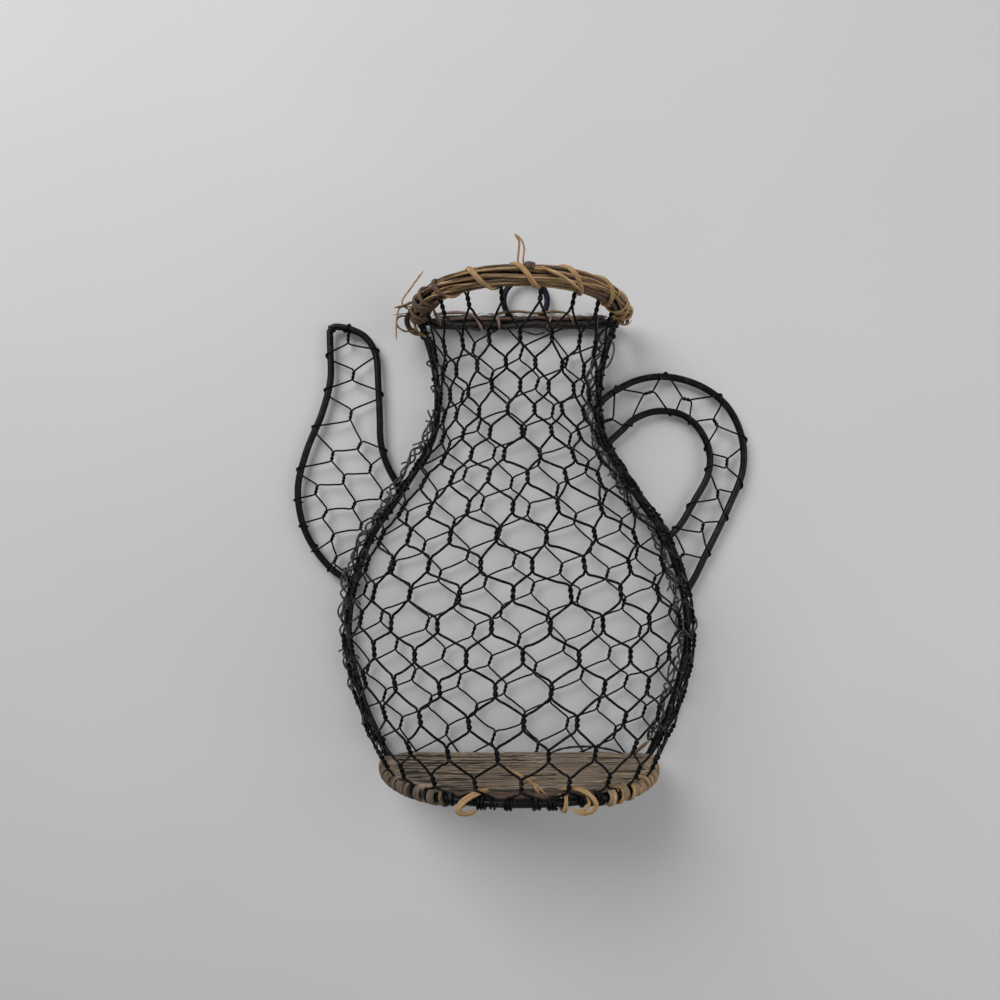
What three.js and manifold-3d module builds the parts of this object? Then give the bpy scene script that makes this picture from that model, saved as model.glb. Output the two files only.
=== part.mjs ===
// A half-round wall basket shaped like a pitcher: a rod frame with a flat back, clad in hexagonal wire
// netting, with a flat spout, a flat handle, a vine-wrapped rim and a floor of wound cord.
// Millimetres, +Z up, the front faces -Y, and the basket stands on the flat underside of its floor.
import * as THREE from "three";
import { mergeVertices } from "three/addons/utils/BufferGeometryUtils.js";
import Module from "manifold-3d";

const wasm = await Module();
wasm.setup();

// Rods and clearances
const rodDiameter = 4.5;
const ringWire = 3.9;
const contactGap = 0.3;
const landingGap = 0.45;

// Stations up the body above the base rod: half its width, and how far its front stands off its back
const stations = [
  { name: "foot", height: 0, half: 86, depth: 94 },
  { name: "heel", height: 41, half: 103.5, depth: 107 },
  { name: "hip", height: 88, half: 112.5, depth: 112 },
  { name: "flank", height: 142, half: 100, depth: 103 },
  { name: "shoulder", height: 177, half: 77.5, depth: 87 },
  { name: "nape", height: 212, half: 57, depth: 71 },
  { name: "throat", height: 240, half: 53.5, depth: 66 },
  { name: "flare", height: 266, half: 57, depth: 71 },
  { name: "rim", height: 290, half: 64.5, depth: 82 },
];
const hoopSquareness = 2.2; // 2 is an ellipse, more is squarer

// Spout and handle rods: height above the base rod, and reach outside the body's side rod
const spoutTip = { height: 287.6, reach: 59.5 };
const spoutOuter = [
  [270, 66.8], [252, 70.3], [230, 76.5], [204, 80], [180, 70.7], [156, 51], [137, 31.6], [122, 12],
];
const spoutOuterFoot = 118.7;
const spoutInner = [
  [285.2, 48], [280, 40.2], [269, 37], [248, 39], [226, 38], [211, 34], [199, 25], [187, 11.8],
];
const spoutInnerFoot = 178.5;
const handleOuter = [
  [244, 10.4], [252, 26.7], [253.6, 46], [246.3, 70], [233, 86.2], [213, 92.2],
  [191.5, 81.2], [168.6, 57.5], [151.5, 37.6], [135.4, 22.2], [121, 10.7],
];
const handleOuterTop = 236;
const handleOuterFoot = 108;
const handleInner = [
  [217.8, 13.4], [225.3, 22.7], [230.8, 38], [229, 54], [220.7, 64.4], [205.3, 66.9],
  [189.2, 56.8], [171.5, 36.2], [154.9, 14.6],
];
const handleInnerTop = 208.5;
const handleInnerFoot = 145.5;

// Hanging ring on the rim's back bar
const ringOuter = 32.8;
const ringOffset = 4.9;
const ringOpening = 42; // degrees each side of the lowest point that the welded ends leave open

// Wire netting: single wire, the width of two wires twisted together, and the thickness of the sheet
const netWire = 1.2;
const netTwist = 2;
const netDepth = 1.3;
const shortestWire = 2.5;
const frontColumns = 12;
const frontRowHeights = [11.4, 27.7, 46, 64, 81.5, 97.4, 114, 129, 145, 160, 178.8, 191, 205, 219, 232, 245.8,
  260, 281]; // of the middles of the twists, in the rows from the base to the rim
const frontRows = frontRowHeights.length;
const frontTwistShare = 0.58; // of a row
const frontLean = { from: 4, to: 12, columns: -1 }; // rows between which the columns move to the side
const backNet = { pitch: 30.9, row: 17.1, twist: 8.5, rowFall: 9, columnLean: 14.5, start: [-27.9, 92.8] };
const spoutNet = { right: [7, -16], left: [-18, -7], twist: [-1.2, -6.2], start: [-111.2, 228.5] };
const spoutNeckTwists = [[-113, 279], [-109.6, 254.9]];
const spoutNeckTwistLength = 7.5;
const handleTwists = 8;
const handleTwistShare = 0.22; // of the distance from one twist to the next

// Floor cord, wound from side to side round the base hoop
const cordDiameter = 5.5;
const cordRodGap = 0.6;
const cordPitch = 6.1;
const firstCord = 7.2; // from the back bar
const cordFrontGap = 13; // from the last cord to the front of the hoop, at least
const cordShift = 30; // each side of the middle, where the cord underneath moves on to its next place
const cordSides = 6;
const standingCut = cordDiameter / 10;

// Vines
const rimStrandDiameter = 2.4;
const rimStrands = 6;
const rimStrandDrift = 140; // degrees that a strand turns round the hoop from end to end
const rimStrandEnd = 9; // from the back bar
const bindingDiameter = 2.6;
const bindingTurns = 8;
const bindingMiddle = 26; // degrees above the outer side, at the middle of the front
const bindingEnd = 13;
const backVineEnd = 7;
const backVineAngles = [160, 205, 250, 20];
const loopVineDiameter = 2.6;
const baseLoops = [{ at: -27.6, turns: 1.7 }, { at: 23, turns: 1.2 }, { at: 34, turns: 1.7 }];
const twigDiameter = 1.6;
const rootLength = 3;
const tendrils = [
  { share: 0.9, degrees: 35, reaches: [[7, 6, 3], [12, 10, -4]] },
  { share: 0.87, degrees: -25, reaches: [[7, 5, -6], [9, 8, -17]] },
];

// Tie wires round the front of the base hoop
const tieWire = 1.2;
const tiePitch = 1.8;
const baseTies = [{ at: -17, turns: 3 }, { at: -5, turns: 2 }, { at: 5, turns: 2 }, { at: 14, turns: 3 },
  { at: 42, turns: 2 }];

// Finishes
const rodSteel = { color: 0x25272c, roughness: 0.45, metalness: 0.6 };
const netSteel = { color: 0x15161a, roughness: 0.5, metalness: 0.6 };
const brownVine = { color: 0x6e5032, roughness: 0.85, metalness: 0 };
const goldenVine = { color: 0xaa824b, roughness: 0.7, metalness: 0 };
const darkVine = { color: 0x3c2d23, roughness: 0.9, metalness: 0 };
const greyCord = { color: 0x736455, roughness: 0.95, metalness: 0 };

// Worked out from the sizes above
const rodRadius = rodDiameter / 2;
const cordRadius = cordDiameter / 2;
const cordOffset = rodRadius + cordRodGap + cordRadius;
const cordFlat = cordRadius * Math.cos(Math.PI / cordSides);
const baseRodHeight = cordOffset + cordFlat - standingCut;
const cordTurns = Math.floor((stations[0].depth - cordFrontGap - firstCord) / cordPitch) + 1;
const rimHeight = stations[stations.length - 1].height;
const rimStrandOffset = rodRadius + contactGap + rimStrandDiameter / 2;
const bundleRadius = rimStrandOffset + rimStrandDiameter / 2;
const bindingOffset = bundleRadius + contactGap + bindingDiameter / 2;
const bindingRadius = bindingOffset + bindingDiameter / 2;
const loopOffset = rodRadius + contactGap + loopVineDiameter / 2;
const loopRadius = loopOffset + loopVineDiameter / 2;
const lastCord = firstCord + cordPitch * cordTurns;
const wireMargin = contactGap + netWire / 2;

const basket = new THREE.Group();
const body = new THREE.Group();
body.position.y = firstCord + cordPitch * (Math.floor(cordTurns / 2) + 0.5);
basket.add(body);

function add(name, geometry, finish) {
  const mesh = new THREE.Mesh(geometry, new THREE.MeshStandardMaterial(finish));
  mesh.name = name;
  body.add(mesh);
}

// A size of the body at a height, on a smooth curve through its stations
function bodySize(height, size) {
  const last = stations.length - 1;
  let i = 0;
  while (i < last - 1 && stations[i + 1].height < height) i += 1;
  const slope = (k) => {
    const low = stations[Math.max(k - 1, 0)];
    const high = stations[Math.min(k + 1, last)];
    return (high[size] - low[size]) / (high.height - low.height);
  };
  const width = stations[i + 1].height - stations[i].height;
  const t = (height - stations[i].height) / width;
  const rise = stations[i + 1][size] - stations[i][size];
  const bend = t * (1 - t) * ((1 - t) * (slope(i) * width - rise) - t * (slope(i + 1) * width - rise));
  return stations[i][size] + t * rise + bend;
}

const outside = (side, height, reach) =>
  new THREE.Vector3(side * (bodySize(height, "half") + reach), 0, baseRodHeight + height);

// A point round the body's front at one height: turn runs from 0 at the right to 1 at the left
function roundFront(height, turn) {
  const angle = Math.PI * turn;
  const power = 2 / hoopSquareness;
  const x = Math.sign(Math.cos(angle)) * Math.abs(Math.cos(angle)) ** power;
  const y = Math.abs(Math.sin(angle)) ** power;
  const half = bodySize(height, "half");
  const depth = bodySize(height, "depth");
  return new THREE.Vector3(x * half, -y * depth, baseRodHeight + height);
}

const steps = (count, make) => Array.from({ length: count + 1 }, (_, i) => make(i / count));
const smooth = (points) => new THREE.CatmullRomCurve3(points, false, "centripetal");

// A round bar along a route, its flats square to the route's plane
function tube(route, diameter, count, sides = 6) {
  const corner = (i) => {
    const angle = ((i + 0.5) / sides) * 2 * Math.PI;
    return new THREE.Vector2(Math.cos(angle), Math.sin(angle)).multiplyScalar(diameter / 2);
  };
  const section = new THREE.Shape(Array.from({ length: sides }, (_, i) => corner(i)));
  return new THREE.ExtrudeGeometry(section, { steps: count, extrudePath: route, bevelEnabled: false });
}

// A wound bar through every point of its route, as one closed surface
function wound(points, diameter, sides) {
  const positions = [];
  const index = [];
  const across = new THREE.Vector3(0, 1, 0);
  points.forEach((point, i) => {
    const into = point.clone().sub(points[Math.max(i - 1, 0)]).normalize();
    const out = points[Math.min(i + 1, points.length - 1)].clone().sub(point).normalize();
    const along = into.add(out).normalize();
    across.addScaledVector(along, -across.dot(along)).normalize();
    const other = along.clone().cross(across);
    for (let k = 0; k < sides; k += 1) {
      const angle = (k / sides) * 2 * Math.PI;
      const corner = point.clone();
      corner.addScaledVector(across, (Math.cos(angle) * diameter) / 2);
      corner.addScaledVector(other, (Math.sin(angle) * diameter) / 2);
      positions.push(...corner.toArray());
    }
    if (i === 0) return;
    for (let k = 0; k < sides; k += 1) {
      const a = (i - 1) * sides + k;
      const b = (i - 1) * sides + ((k + 1) % sides);
      index.push(a, b, b + sides, a, b + sides, a + sides);
    }
  });
  const end = (points.length - 1) * sides;
  for (let k = 1; k < sides - 1; k += 1) {
    index.push(0, k + 1, k);
    index.push(end, end + k, end + k + 1);
  }
  const geometry = new THREE.BufferGeometry();
  geometry.setAttribute("position", new THREE.Float32BufferAttribute(positions, 3));
  geometry.setIndex(index);
  return geometry;
}

// The least gap of a wound bar to its own other turns, measured on points along its route
function reportLeastGap(name, points, diameter, turns) {
  const spacing = diameter / 4;
  const line = [];
  for (let i = 1; i < points.length; i += 1) {
    const count = Math.ceil(points[i].distanceTo(points[i - 1]) / spacing);
    for (let k = 0; k < count; k += 1) line.push(points[i - 1].clone().lerp(points[i], k / count));
  }
  const apart = Math.floor((line.length / turns) * 0.45);
  let least = Infinity;
  for (let i = 0; i < line.length; i += 1) {
    for (let k = i + apart; k < line.length; k += 1) least = Math.min(least, line[i].distanceTo(line[k]));
  }
  console.log(name + ": least gap to itself " + (least - diameter).toFixed(2) + " mm");
}

// Where a rod that comes from a point outside lands on the side rod, stopping a hair clear of it
function landing(side, height, from) {
  const seat = outside(side, height, 0);
  const slope = (bodySize(height + 1, "half") - bodySize(height - 1, "half")) / 2;
  const normal = new THREE.Vector3(side, 0, -slope).normalize();
  const towards = seat.clone().sub(from).normalize();
  const square = -towards.dot(normal);
  const clear = rodRadius + landingGap + rodRadius * Math.sqrt(1 - square * square);
  return seat.addScaledVector(towards, -clear / square);
}

// Side rods, which end just clear of the bars at the base and the rim
function sideHeight(height, direction) {
  const slope = bodySize(height + direction, "half") - bodySize(height, "half");
  return height + direction * (rodRadius + contactGap + (rodRadius * Math.abs(slope)) / Math.hypot(1, slope));
}
const sideFoot = sideHeight(0, 1);
const sideTop = sideHeight(rimHeight, -1);
const sideRoute = (side) => smooth(steps(30, (t) => outside(side, sideFoot + (sideTop - sideFoot) * t, 0)));

// Hoops round the front, which end just clear of the bars at the back
function hoopRoute(height, endGap) {
  const depth = bodySize(height, "depth");
  const first = Math.asin((endGap / depth) ** (hoopSquareness / 2)) / Math.PI;
  return smooth(steps(36, (t) => roundFront(height, first + (1 - 2 * first) * t)));
}
const barRoute = (height) => {
  const reach = bodySize(height, "half") + rodRadius;
  const level = baseRodHeight + height;
  return new THREE.LineCurve3(new THREE.Vector3(-reach, 0, level), new THREE.Vector3(reach, 0, level));
};

function buildFrame() {
  add("back_frame_right_rod", tube(sideRoute(1), rodDiameter, 24), rodSteel);
  add("back_frame_left_rod", tube(sideRoute(-1), rodDiameter, 24), rodSteel);
  add("base_back_bar", tube(barRoute(0), rodDiameter, 1), rodSteel);
  add("rim_back_bar", tube(barRoute(rimHeight), rodDiameter, 1), rodSteel);
  add("base_hoop", tube(hoopRoute(0, rodRadius + contactGap), rodDiameter, 28), rodSteel);
  add("rim_hoop", tube(hoopRoute(rimHeight, rodRadius + contactGap), rodDiameter, 24), rodSteel);
}

const ringRadius = (ringOuter - ringWire) / 2;
const opening = THREE.MathUtils.degToRad(ringOpening);
const ringLift = rodRadius + contactGap + (ringRadius + ringWire / 2) * Math.cos(opening);

function buildRing() {
  const centre = new THREE.Vector3(ringOffset, 0, baseRodHeight + rimHeight + ringLift);
  const route = smooth(steps(24, (t) => {
    const angle = opening + (2 * Math.PI - 2 * opening) * t;
    const arm = new THREE.Vector3(Math.sin(angle), 0, -Math.cos(angle)).multiplyScalar(ringRadius);
    return arm.add(centre);
  }));
  add("hanging_ring", tube(route, ringWire, 18), rodSteel);
}

// Spout and handle, bent in the plane of the back
const free = (side, points) => points.map(([height, reach]) => outside(side, height, reach));
const spoutOuterPoints = [outside(-1, spoutTip.height, spoutTip.reach), ...free(-1, spoutOuter)];
spoutOuterPoints.push(landing(-1, spoutOuterFoot, spoutOuterPoints.at(-1)));
const spoutCorner = spoutOuterPoints[0].clone();
spoutCorner.x += rodDiameter - rodRadius + landingGap;
spoutCorner.z -= rodRadius;
const spoutInnerPoints = [spoutCorner, ...free(-1, spoutInner)];
spoutInnerPoints.push(landing(-1, spoutInnerFoot, spoutInnerPoints.at(-1)));
const handlePoints = (top, points, foot) => {
  const route = free(1, points);
  return [landing(1, top, route[0]), ...route, landing(1, foot, route.at(-1))];
};
const spoutOuterRoute = smooth(spoutOuterPoints);
const spoutInnerRoute = smooth(spoutInnerPoints);
const handleOuterRoute = smooth(handlePoints(handleOuterTop, handleOuter, handleOuterFoot));
const handleInnerRoute = smooth(handlePoints(handleInnerTop, handleInner, handleInnerFoot));

function buildSpoutAndHandle() {
  add("spout_outer_rod", tube(spoutOuterRoute, rodDiameter, 20), rodSteel);
  add("spout_inner_rod", tube(spoutInnerRoute, rodDiameter, 18), rodSteel);
  add("handle_outer_rod", tube(handleOuterRoute, rodDiameter, 28), rodSteel);
  add("handle_inner_rod", tube(handleInnerRoute, rodDiameter, 22), rodSteel);
}

// The wires of a hexagonal net as links between points of a flat chart: up each twist, then to its neighbours
function hexLinks(columns, rows, twistAt, width) {
  const links = [];
  for (let row = rows[0]; row <= rows[1]; row += 1) {
    for (let column = columns[0]; column <= columns[1]; column += 1) {
      const here = twistAt(column, row);
      links.push({ from: here.low, to: here.high, width });
      for (const next of twistAt.neighbours(column, row)) {
        links.push({ from: here.high, to: twistAt(...next).low, width: netWire });
      }
    }
  }
  return links;
}

// The links that lie inside an outline, cut where they cross it; room is above 0 inside
function cutLinks(links, room) {
  const kept = [];
  for (const link of links) {
    const fromRoom = room(link.from);
    const toRoom = room(link.to);
    if (fromRoom <= 0 && toRoom <= 0) continue;
    let [inner, outer] = fromRoom > 0 ? [link.from, link.to] : [link.to, link.from];
    if (fromRoom > 0 && toRoom > 0) {
      kept.push(link);
      continue;
    }
    let low = 0;
    let high = 1;
    for (let i = 0; i < 24; i += 1) {
      const middle = (low + high) / 2;
      const point = inner.map((value, k) => value + (outer[k] - value) * middle);
      if (room(point) > 0) low = middle;
      else high = middle;
    }
    kept.push({ ...link, from: inner, to: inner.map((value, k) => value + (outer[k] - value) * low) });
  }
  return kept;
}

// A net of wires as one closed solid: a flat strip along each wire in front, and a ridge behind it
function netSolid(links, place) {
  const nodes = new Map();
  const nodeAt = (chart) => {
    const key = chart.map((value) => value.toFixed(4)).join();
    if (!nodes.has(key)) nodes.set(key, { ...place(chart), arms: [] });
    return nodes.get(key);
  };
  for (const link of links) {
    const from = nodeAt(link.from);
    const to = nodeAt(link.to);
    if (from.point.distanceTo(to.point) < shortestWire) continue;
    from.arms.push({ to, width: link.width });
    to.arms.push({ to: from, width: link.width });
  }
  const joined = largestGroup([...nodes.values()]);
  const positions = [];
  const index = [];
  const vertex = (point) => positions.push(...point.toArray()) / 3 - 1;
  for (const node of joined) placeCorners(node, vertex);
  for (const node of joined) {
    for (const arm of node.arms) {
      const back = arm.to.arms.find((other) => other.to === node);
      if (node.arms.length === 1) index.push(arm.left, node.ridge, arm.right);
      if (node.order > arm.to.order) continue;
      index.push(arm.right, back.left, back.right, arm.right, back.right, arm.left);
      index.push(arm.right, node.ridge, arm.to.ridge, arm.right, arm.to.ridge, back.left);
      index.push(arm.left, back.right, arm.to.ridge, arm.left, arm.to.ridge, node.ridge);
    }
    for (let k = 2; k < node.arms.length; k += 1) {
      index.push(node.arms[0].left, node.arms[k - 1].left, node.arms[k].left);
    }
  }
  const geometry = new THREE.BufferGeometry();
  geometry.setAttribute("position", new THREE.Float32BufferAttribute(positions, 3));
  geometry.setIndex(index);
  return geometry;
}

// The largest set of nodes that wires join
function largestGroup(nodes) {
  let best = [];
  const seen = new Set();
  for (const start of nodes) {
    if (seen.has(start)) continue;
    const group = [start];
    seen.add(start);
    for (const node of group) {
      for (const { to } of node.arms) {
        if (seen.has(to)) continue;
        seen.add(to);
        group.push(to);
      }
    }
    if (group.length > best.length) best = group;
  }
  best.forEach((node, order) => {
    node.order = order;
  });
  return best;
}

// The corners between each wire and the next round a node, and the node's point on the ridge
function placeCorners(node, vertex) {
  const { point, normal, arms } = node;
  const east = new THREE.Vector3(1, 0, 0).addScaledVector(normal, -normal.x).normalize();
  const north = normal.clone().cross(east);
  for (const arm of arms) {
    const way = arm.to.point.clone().sub(point);
    arm.way = way.addScaledVector(normal, -way.dot(normal)).normalize();
    arm.angle = Math.atan2(arm.way.dot(north), arm.way.dot(east));
  }
  arms.sort((a, b) => a.angle - b.angle);
  const front = point.clone().addScaledVector(normal, netDepth / 3);
  node.ridge = vertex(point.clone().addScaledVector(normal, (-2 * netDepth) / 3));
  const square = (way) => normal.clone().cross(way);
  if (arms.length === 1) {
    const half = arms[0].width / 2;
    arms[0].left = vertex(front.clone().addScaledVector(square(arms[0].way), half));
    arms[0].right = vertex(front.clone().addScaledVector(square(arms[0].way), -half));
    return;
  }
  arms.forEach((arm, k) => {
    const next = arms[(k + 1) % arms.length];
    const sine = arm.way.clone().cross(next.way).dot(normal);
    const corner = front.clone();
    if (Math.abs(sine) < 0.15) corner.addScaledVector(square(arm.way), (arm.width + next.width) / 4);
    else {
      corner.addScaledVector(next.way, arm.width / 2 / sine);
      corner.addScaledVector(arm.way, next.width / 2 / sine);
    }
    arm.left = vertex(corner);
    next.right = arm.left;
  });
}

// Rows of twists that step half a column to the side from row to row
function brickTwists(share, lean = () => 0) {
  const twistAt = (column, row) => {
    const across = column + (row % 2 ? 1 : 0.5) + lean(row);
    return { low: [across, row + 0.5 - share / 2], high: [across, row + 0.5 + share / 2] };
  };
  twistAt.neighbours = (column, row) => [[column, row + 1], [column + (row % 2 ? 1 : -1), row + 1]];
  return twistAt;
}

// The height of a place in the front net, whose rows are counted from the base with the first twists at 0.5
function rowHeight(row) {
  const marks = [0, ...frontRowHeights, rimHeight];
  const places = marks.map((_, i) => THREE.MathUtils.clamp(i - 0.5, 0, frontRows));
  const reach = THREE.MathUtils.clamp(row, 0, frontRows);
  const i = Math.min(Math.floor(reach + 0.5), frontRows);
  const share = (reach - places[i]) / (places[i + 1] - places[i]);
  return marks[i] + (marks[i + 1] - marks[i]) * share;
}

// The front net follows the bulge, with columns spaced evenly round each height
const ringCache = new Map();
function onFront([column, row]) {
  const height = rowHeight(row);
  const key = height.toFixed(3);
  if (!ringCache.has(key)) ringCache.set(key, smooth(steps(24, (t) => roundFront(height, t))));
  return ringCache.get(key).getPointAt(THREE.MathUtils.clamp(1 - column / frontColumns, 0, 1));
}
function placeOnFront([column, row]) {
  const small = 0.05;
  const east = onFront([column + small, row]).sub(onFront([column - small, row]));
  const north = onFront([column, row + small]).sub(onFront([column, row - small]));
  return { point: onFront([column, row]), normal: east.cross(north).normalize() };
}

function buildFrontNet() {
  const overCord = cordOffset + cordRadius + wireMargin;
  const overLoops = loopRadius + wireMargin;
  const room = ([column, row]) => {
    const inChart = Math.min(column, frontColumns - column, row, frontRows - row);
    if (inChart <= 0) return inChart;
    const point = onFront([column, row]);
    const height = point.z - baseRodHeight;
    const sideRoom = -point.y - rodRadius - wireMargin;
    const footRoom = height - (-point.y < lastCord + cordDiameter ? overCord : overLoops);
    const rimRoom = rimHeight - height - bindingRadius - wireMargin;
    return Math.min(sideRoom, footRoom, rimRoom);
  };
  const { from, to, columns } = frontLean;
  const lean = (row) => 0.5 + columns * THREE.MathUtils.smoothstep(row, from, to);
  const twistAt = brickTwists(frontTwistShare, lean);
  const links = hexLinks([-2, frontColumns + 1], [-1, frontRows], twistAt, netTwist);
  add("front_net", netSolid(cutLinks(links, room), placeOnFront), netSteel);
}

// How far a point of the back's plane lies inside a closed outline
function roomInside(outline, [x, z]) {
  let inside = false;
  let nearest = Infinity;
  outline.forEach((a, i) => {
    const b = outline[(i + 1) % outline.length];
    if (a.z > z !== b.z > z && x < ((b.x - a.x) * (z - a.z)) / (b.z - a.z) + a.x) inside = !inside;
    const length = (b.x - a.x) ** 2 + (b.z - a.z) ** 2;
    const t = THREE.MathUtils.clamp(((x - a.x) * (b.x - a.x) + (z - a.z) * (b.z - a.z)) / length, 0, 1);
    nearest = Math.min(nearest, Math.hypot(a.x + (b.x - a.x) * t - x, a.z + (b.z - a.z) * t - z));
  });
  return (inside ? nearest : -nearest) - rodRadius - wireMargin;
}
const placeInBack = ([x, z]) => ({ point: new THREE.Vector3(x, 0, z), normal: new THREE.Vector3(0, -1, 0) });

function buildBackNet() {
  const right = steps(30, (t) => outside(1, rimHeight * t, 0));
  const left = steps(30, (t) => outside(-1, rimHeight * (1 - t), 0));
  const vines = bundleRadius - rodRadius;
  for (const side of [right, left]) {
    for (const point of side) point.z = Math.min(point.z, baseRodHeight + rimHeight - vines);
  }
  const fall = THREE.MathUtils.degToRad(backNet.rowFall);
  const lean = THREE.MathUtils.degToRad(backNet.columnLean);
  const turned = ([across, up]) => {
    const [x, height] = backNet.start;
    const along = across * backNet.pitch;
    const climb = up * backNet.row;
    return [x + along * Math.cos(fall) + climb * Math.sin(lean),
      baseRodHeight + height - along * Math.sin(fall) + climb * Math.cos(lean)];
  };
  const brick = brickTwists(backNet.twist / backNet.row);
  const twistAt = (column, row) => {
    const { low, high } = brick(column, row);
    return { low: turned(low), high: turned(high) };
  };
  twistAt.neighbours = brick.neighbours;
  const links = hexLinks([-8, 8], [-8, 14], twistAt, netTwist);
  const outline = [...right, ...left];
  add("back_net", netSolid(cutLinks(links, (chart) => roomInside(outline, chart)), placeInBack), netSteel);
}

function buildSpoutNet() {
  const level = ([x, height]) => [x, baseRodHeight + height];
  const shift = (chart, by, times) => [chart[0] + by[0] * times, chart[1] + by[1] * times];
  const twistAt = (right, left) => {
    const centre = shift(shift(level(spoutNet.start), spoutNet.right, right), spoutNet.left, left);
    return { low: shift(centre, spoutNet.twist, -0.5), high: shift(centre, spoutNet.twist, 0.5) };
  };
  twistAt.neighbours = (right, left) => [[right + 1, left], [right, left + 1]];
  const below = (chart) => chart[1] < twistAt(0, 0).low[1] + shortestWire;
  const links = hexLinks([-3, 9], [-3, 9], twistAt, netTwist);
  const lower = links.filter(({ from, to }) => below(from) && below(to));
  const neck = [...spoutNeckTwists.map(level), twistAt(0, 0).low];
  const half = spoutNeckTwistLength / 2;
  const outline = [
    ...spoutOuterRoute.getSpacedPoints(60),
    ...spoutInnerRoute.getSpacedPoints(60).reverse(),
  ];
  const sideRod = steps(12, (t) => outside(-1, spoutOuterFoot + (spoutInnerFoot - spoutOuterFoot) * t, 0));
  outline.splice(61, 0, ...sideRod);
  const room = (chart) => roomInside(outline, chart);
  const upper = [];
  neck.slice(0, -1).forEach((centre, i) => {
    const high = shift(centre, [0, 1], half);
    const low = shift(centre, [0, -1], half);
    const next = i === neck.length - 2 ? neck[i + 1] : shift(neck[i + 1], [0, 1], half);
    upper.push({ from: high, to: low, width: netTwist });
    upper.push(...diamond(low, next, room));
    if (i === 0) upper.push({ from: high, to: shift(high, [-1, 1], rodDiameter * 2), width: netWire });
    if (i === 0) upper.push({ from: high, to: shift(high, [1, 1], rodDiameter * 2), width: netWire });
  });
  add("spout_net", netSolid(cutLinks([...upper, ...lower], room), placeInBack), netSteel);
}

// Four wires from the end of one twist to the rods at both sides and back to the next twist
function diamond(start, end, room) {
  const middle = [(start[0] + end[0]) / 2, (start[1] + end[1]) / 2];
  const length = Math.hypot(end[0] - start[0], end[1] - start[1]);
  const across = [(end[1] - start[1]) / length, (start[0] - end[0]) / length];
  const links = [];
  for (const side of [-1, 1]) {
    let reach = 0;
    const at = (distance) => middle.map((value, k) => value + side * across[k] * distance);
    while (room(at(reach + 0.1)) > 0) reach += 0.1;
    links.push({ from: start, to: at(reach), width: netWire });
    links.push({ from: at(reach), to: end, width: netWire });
  }
  return links;
}

function buildHandleNet() {
  const outer = handleOuterRoute.getSpacedPoints(80);
  const inner = handleInnerRoute.getSpacedPoints(80);
  const reversed = inner.slice().reverse();
  const sideRod = (from, to) => steps(8, (t) => outside(1, from + (to - from) * t, 0));
  const outline = [...outer, ...sideRod(handleOuterFoot, handleInnerFoot)];
  outline.push(...reversed, ...sideRod(handleInnerTop, handleOuterTop));
  const room = (chart) => roomInside(outline, chart);
  const middle = smooth(outer.map((point, i) => point.clone().add(inner[i]).multiplyScalar(0.5)));
  const at = (twist) => {
    const point = middle.getPointAt(THREE.MathUtils.clamp((twist + 0.5) / handleTwists, 0, 1));
    return [point.x, point.z];
  };
  const links = [];
  for (let twist = 0; twist < handleTwists; twist += 1) {
    const start = at(twist - handleTwistShare / 2);
    links.push({ from: start, to: at(twist + handleTwistShare / 2), width: netTwist });
    if (twist > 0) links.push(...diamond(at(twist - 1 + handleTwistShare / 2), start, room));
  }
  add("handle_net", netSolid(cutLinks(links, room), placeInBack), netSteel);
}

// The base hoop's half-width at a distance in front of the back bar, and how square it is to the cord there
function hoopAt(distance) {
  const { half, depth } = stations[0];
  const share = (distance / depth) ** hoopSquareness;
  const x = half * (1 - share) ** (1 / hoopSquareness);
  const normal = new THREE.Vector2(
    x ** (hoopSquareness - 1) / half ** hoopSquareness,
    distance ** (hoopSquareness - 1) / depth ** hoopSquareness,
  ).normalize();
  return { x, square: normal.x };
}

// One cord from side to side: over the hoop, round it, and back under it one pitch further forward
function buildFloor() {
  const route = [];
  const roundHoop = (side, distance, first) => {
    const { x, square } = hoopAt(distance);
    for (const part of steps(6, (t) => t)) {
      const angle = first + (first > 0 ? -Math.PI : Math.PI) * part;
      const over = side * (x + (cordOffset / square) * Math.cos(angle));
      route.push(new THREE.Vector3(over, -distance, baseRodHeight + cordOffset * Math.sin(angle)));
    }
  };
  const underneath = baseRodHeight - cordOffset;
  for (let turn = 0; turn < cordTurns; turn += 1) {
    const distance = firstCord + cordPitch * turn;
    roundHoop(1, distance, Math.PI / 2);
    route.push(new THREE.Vector3(cordShift, -distance, underneath));
    if (turn === cordTurns - 1) break;
    route.push(new THREE.Vector3(-cordShift, -distance - cordPitch, underneath));
    roundHoop(-1, distance + cordPitch, -Math.PI / 2);
  }
  const start = route[0].clone();
  start.x = -hoopAt(firstCord).x + cordRadius + contactGap;
  const end = route.at(-1).clone();
  end.x = 0;
  end.y -= cordPitch / 2;
  route.unshift(start);
  route.push(end);
  reportLeastGap("floor_winding", route, cordDiameter, cordTurns);
  const size = stations[0].half * 4;
  const below = new THREE.BoxGeometry(size, size, size).translate(0, 0, -size / 2);
  add("floor_winding", cutAway(wound(route, cordDiameter, cordSides), below), greyCord);
}

// One solid less another
function cutAway(geometry, tool) {
  const solid = (source) => {
    const plain = new THREE.BufferGeometry();
    plain.setAttribute("position", source.getAttribute("position"));
    if (source.index) plain.setIndex(source.index);
    const merged = mergeVertices(plain, 1e-4);
    return new wasm.Manifold(new wasm.Mesh({
      numProp: 3,
      vertProperties: new Float32Array(merged.getAttribute("position").array),
      triVerts: new Uint32Array(merged.index.array),
    }));
  };
  const mesh = solid(geometry).subtract(solid(tool)).getMesh();
  const result = new THREE.BufferGeometry();
  result.setAttribute("position", new THREE.BufferAttribute(mesh.vertProperties, 3));
  result.setIndex(new THREE.BufferAttribute(mesh.triVerts, 1));
  return result;
}

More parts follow.
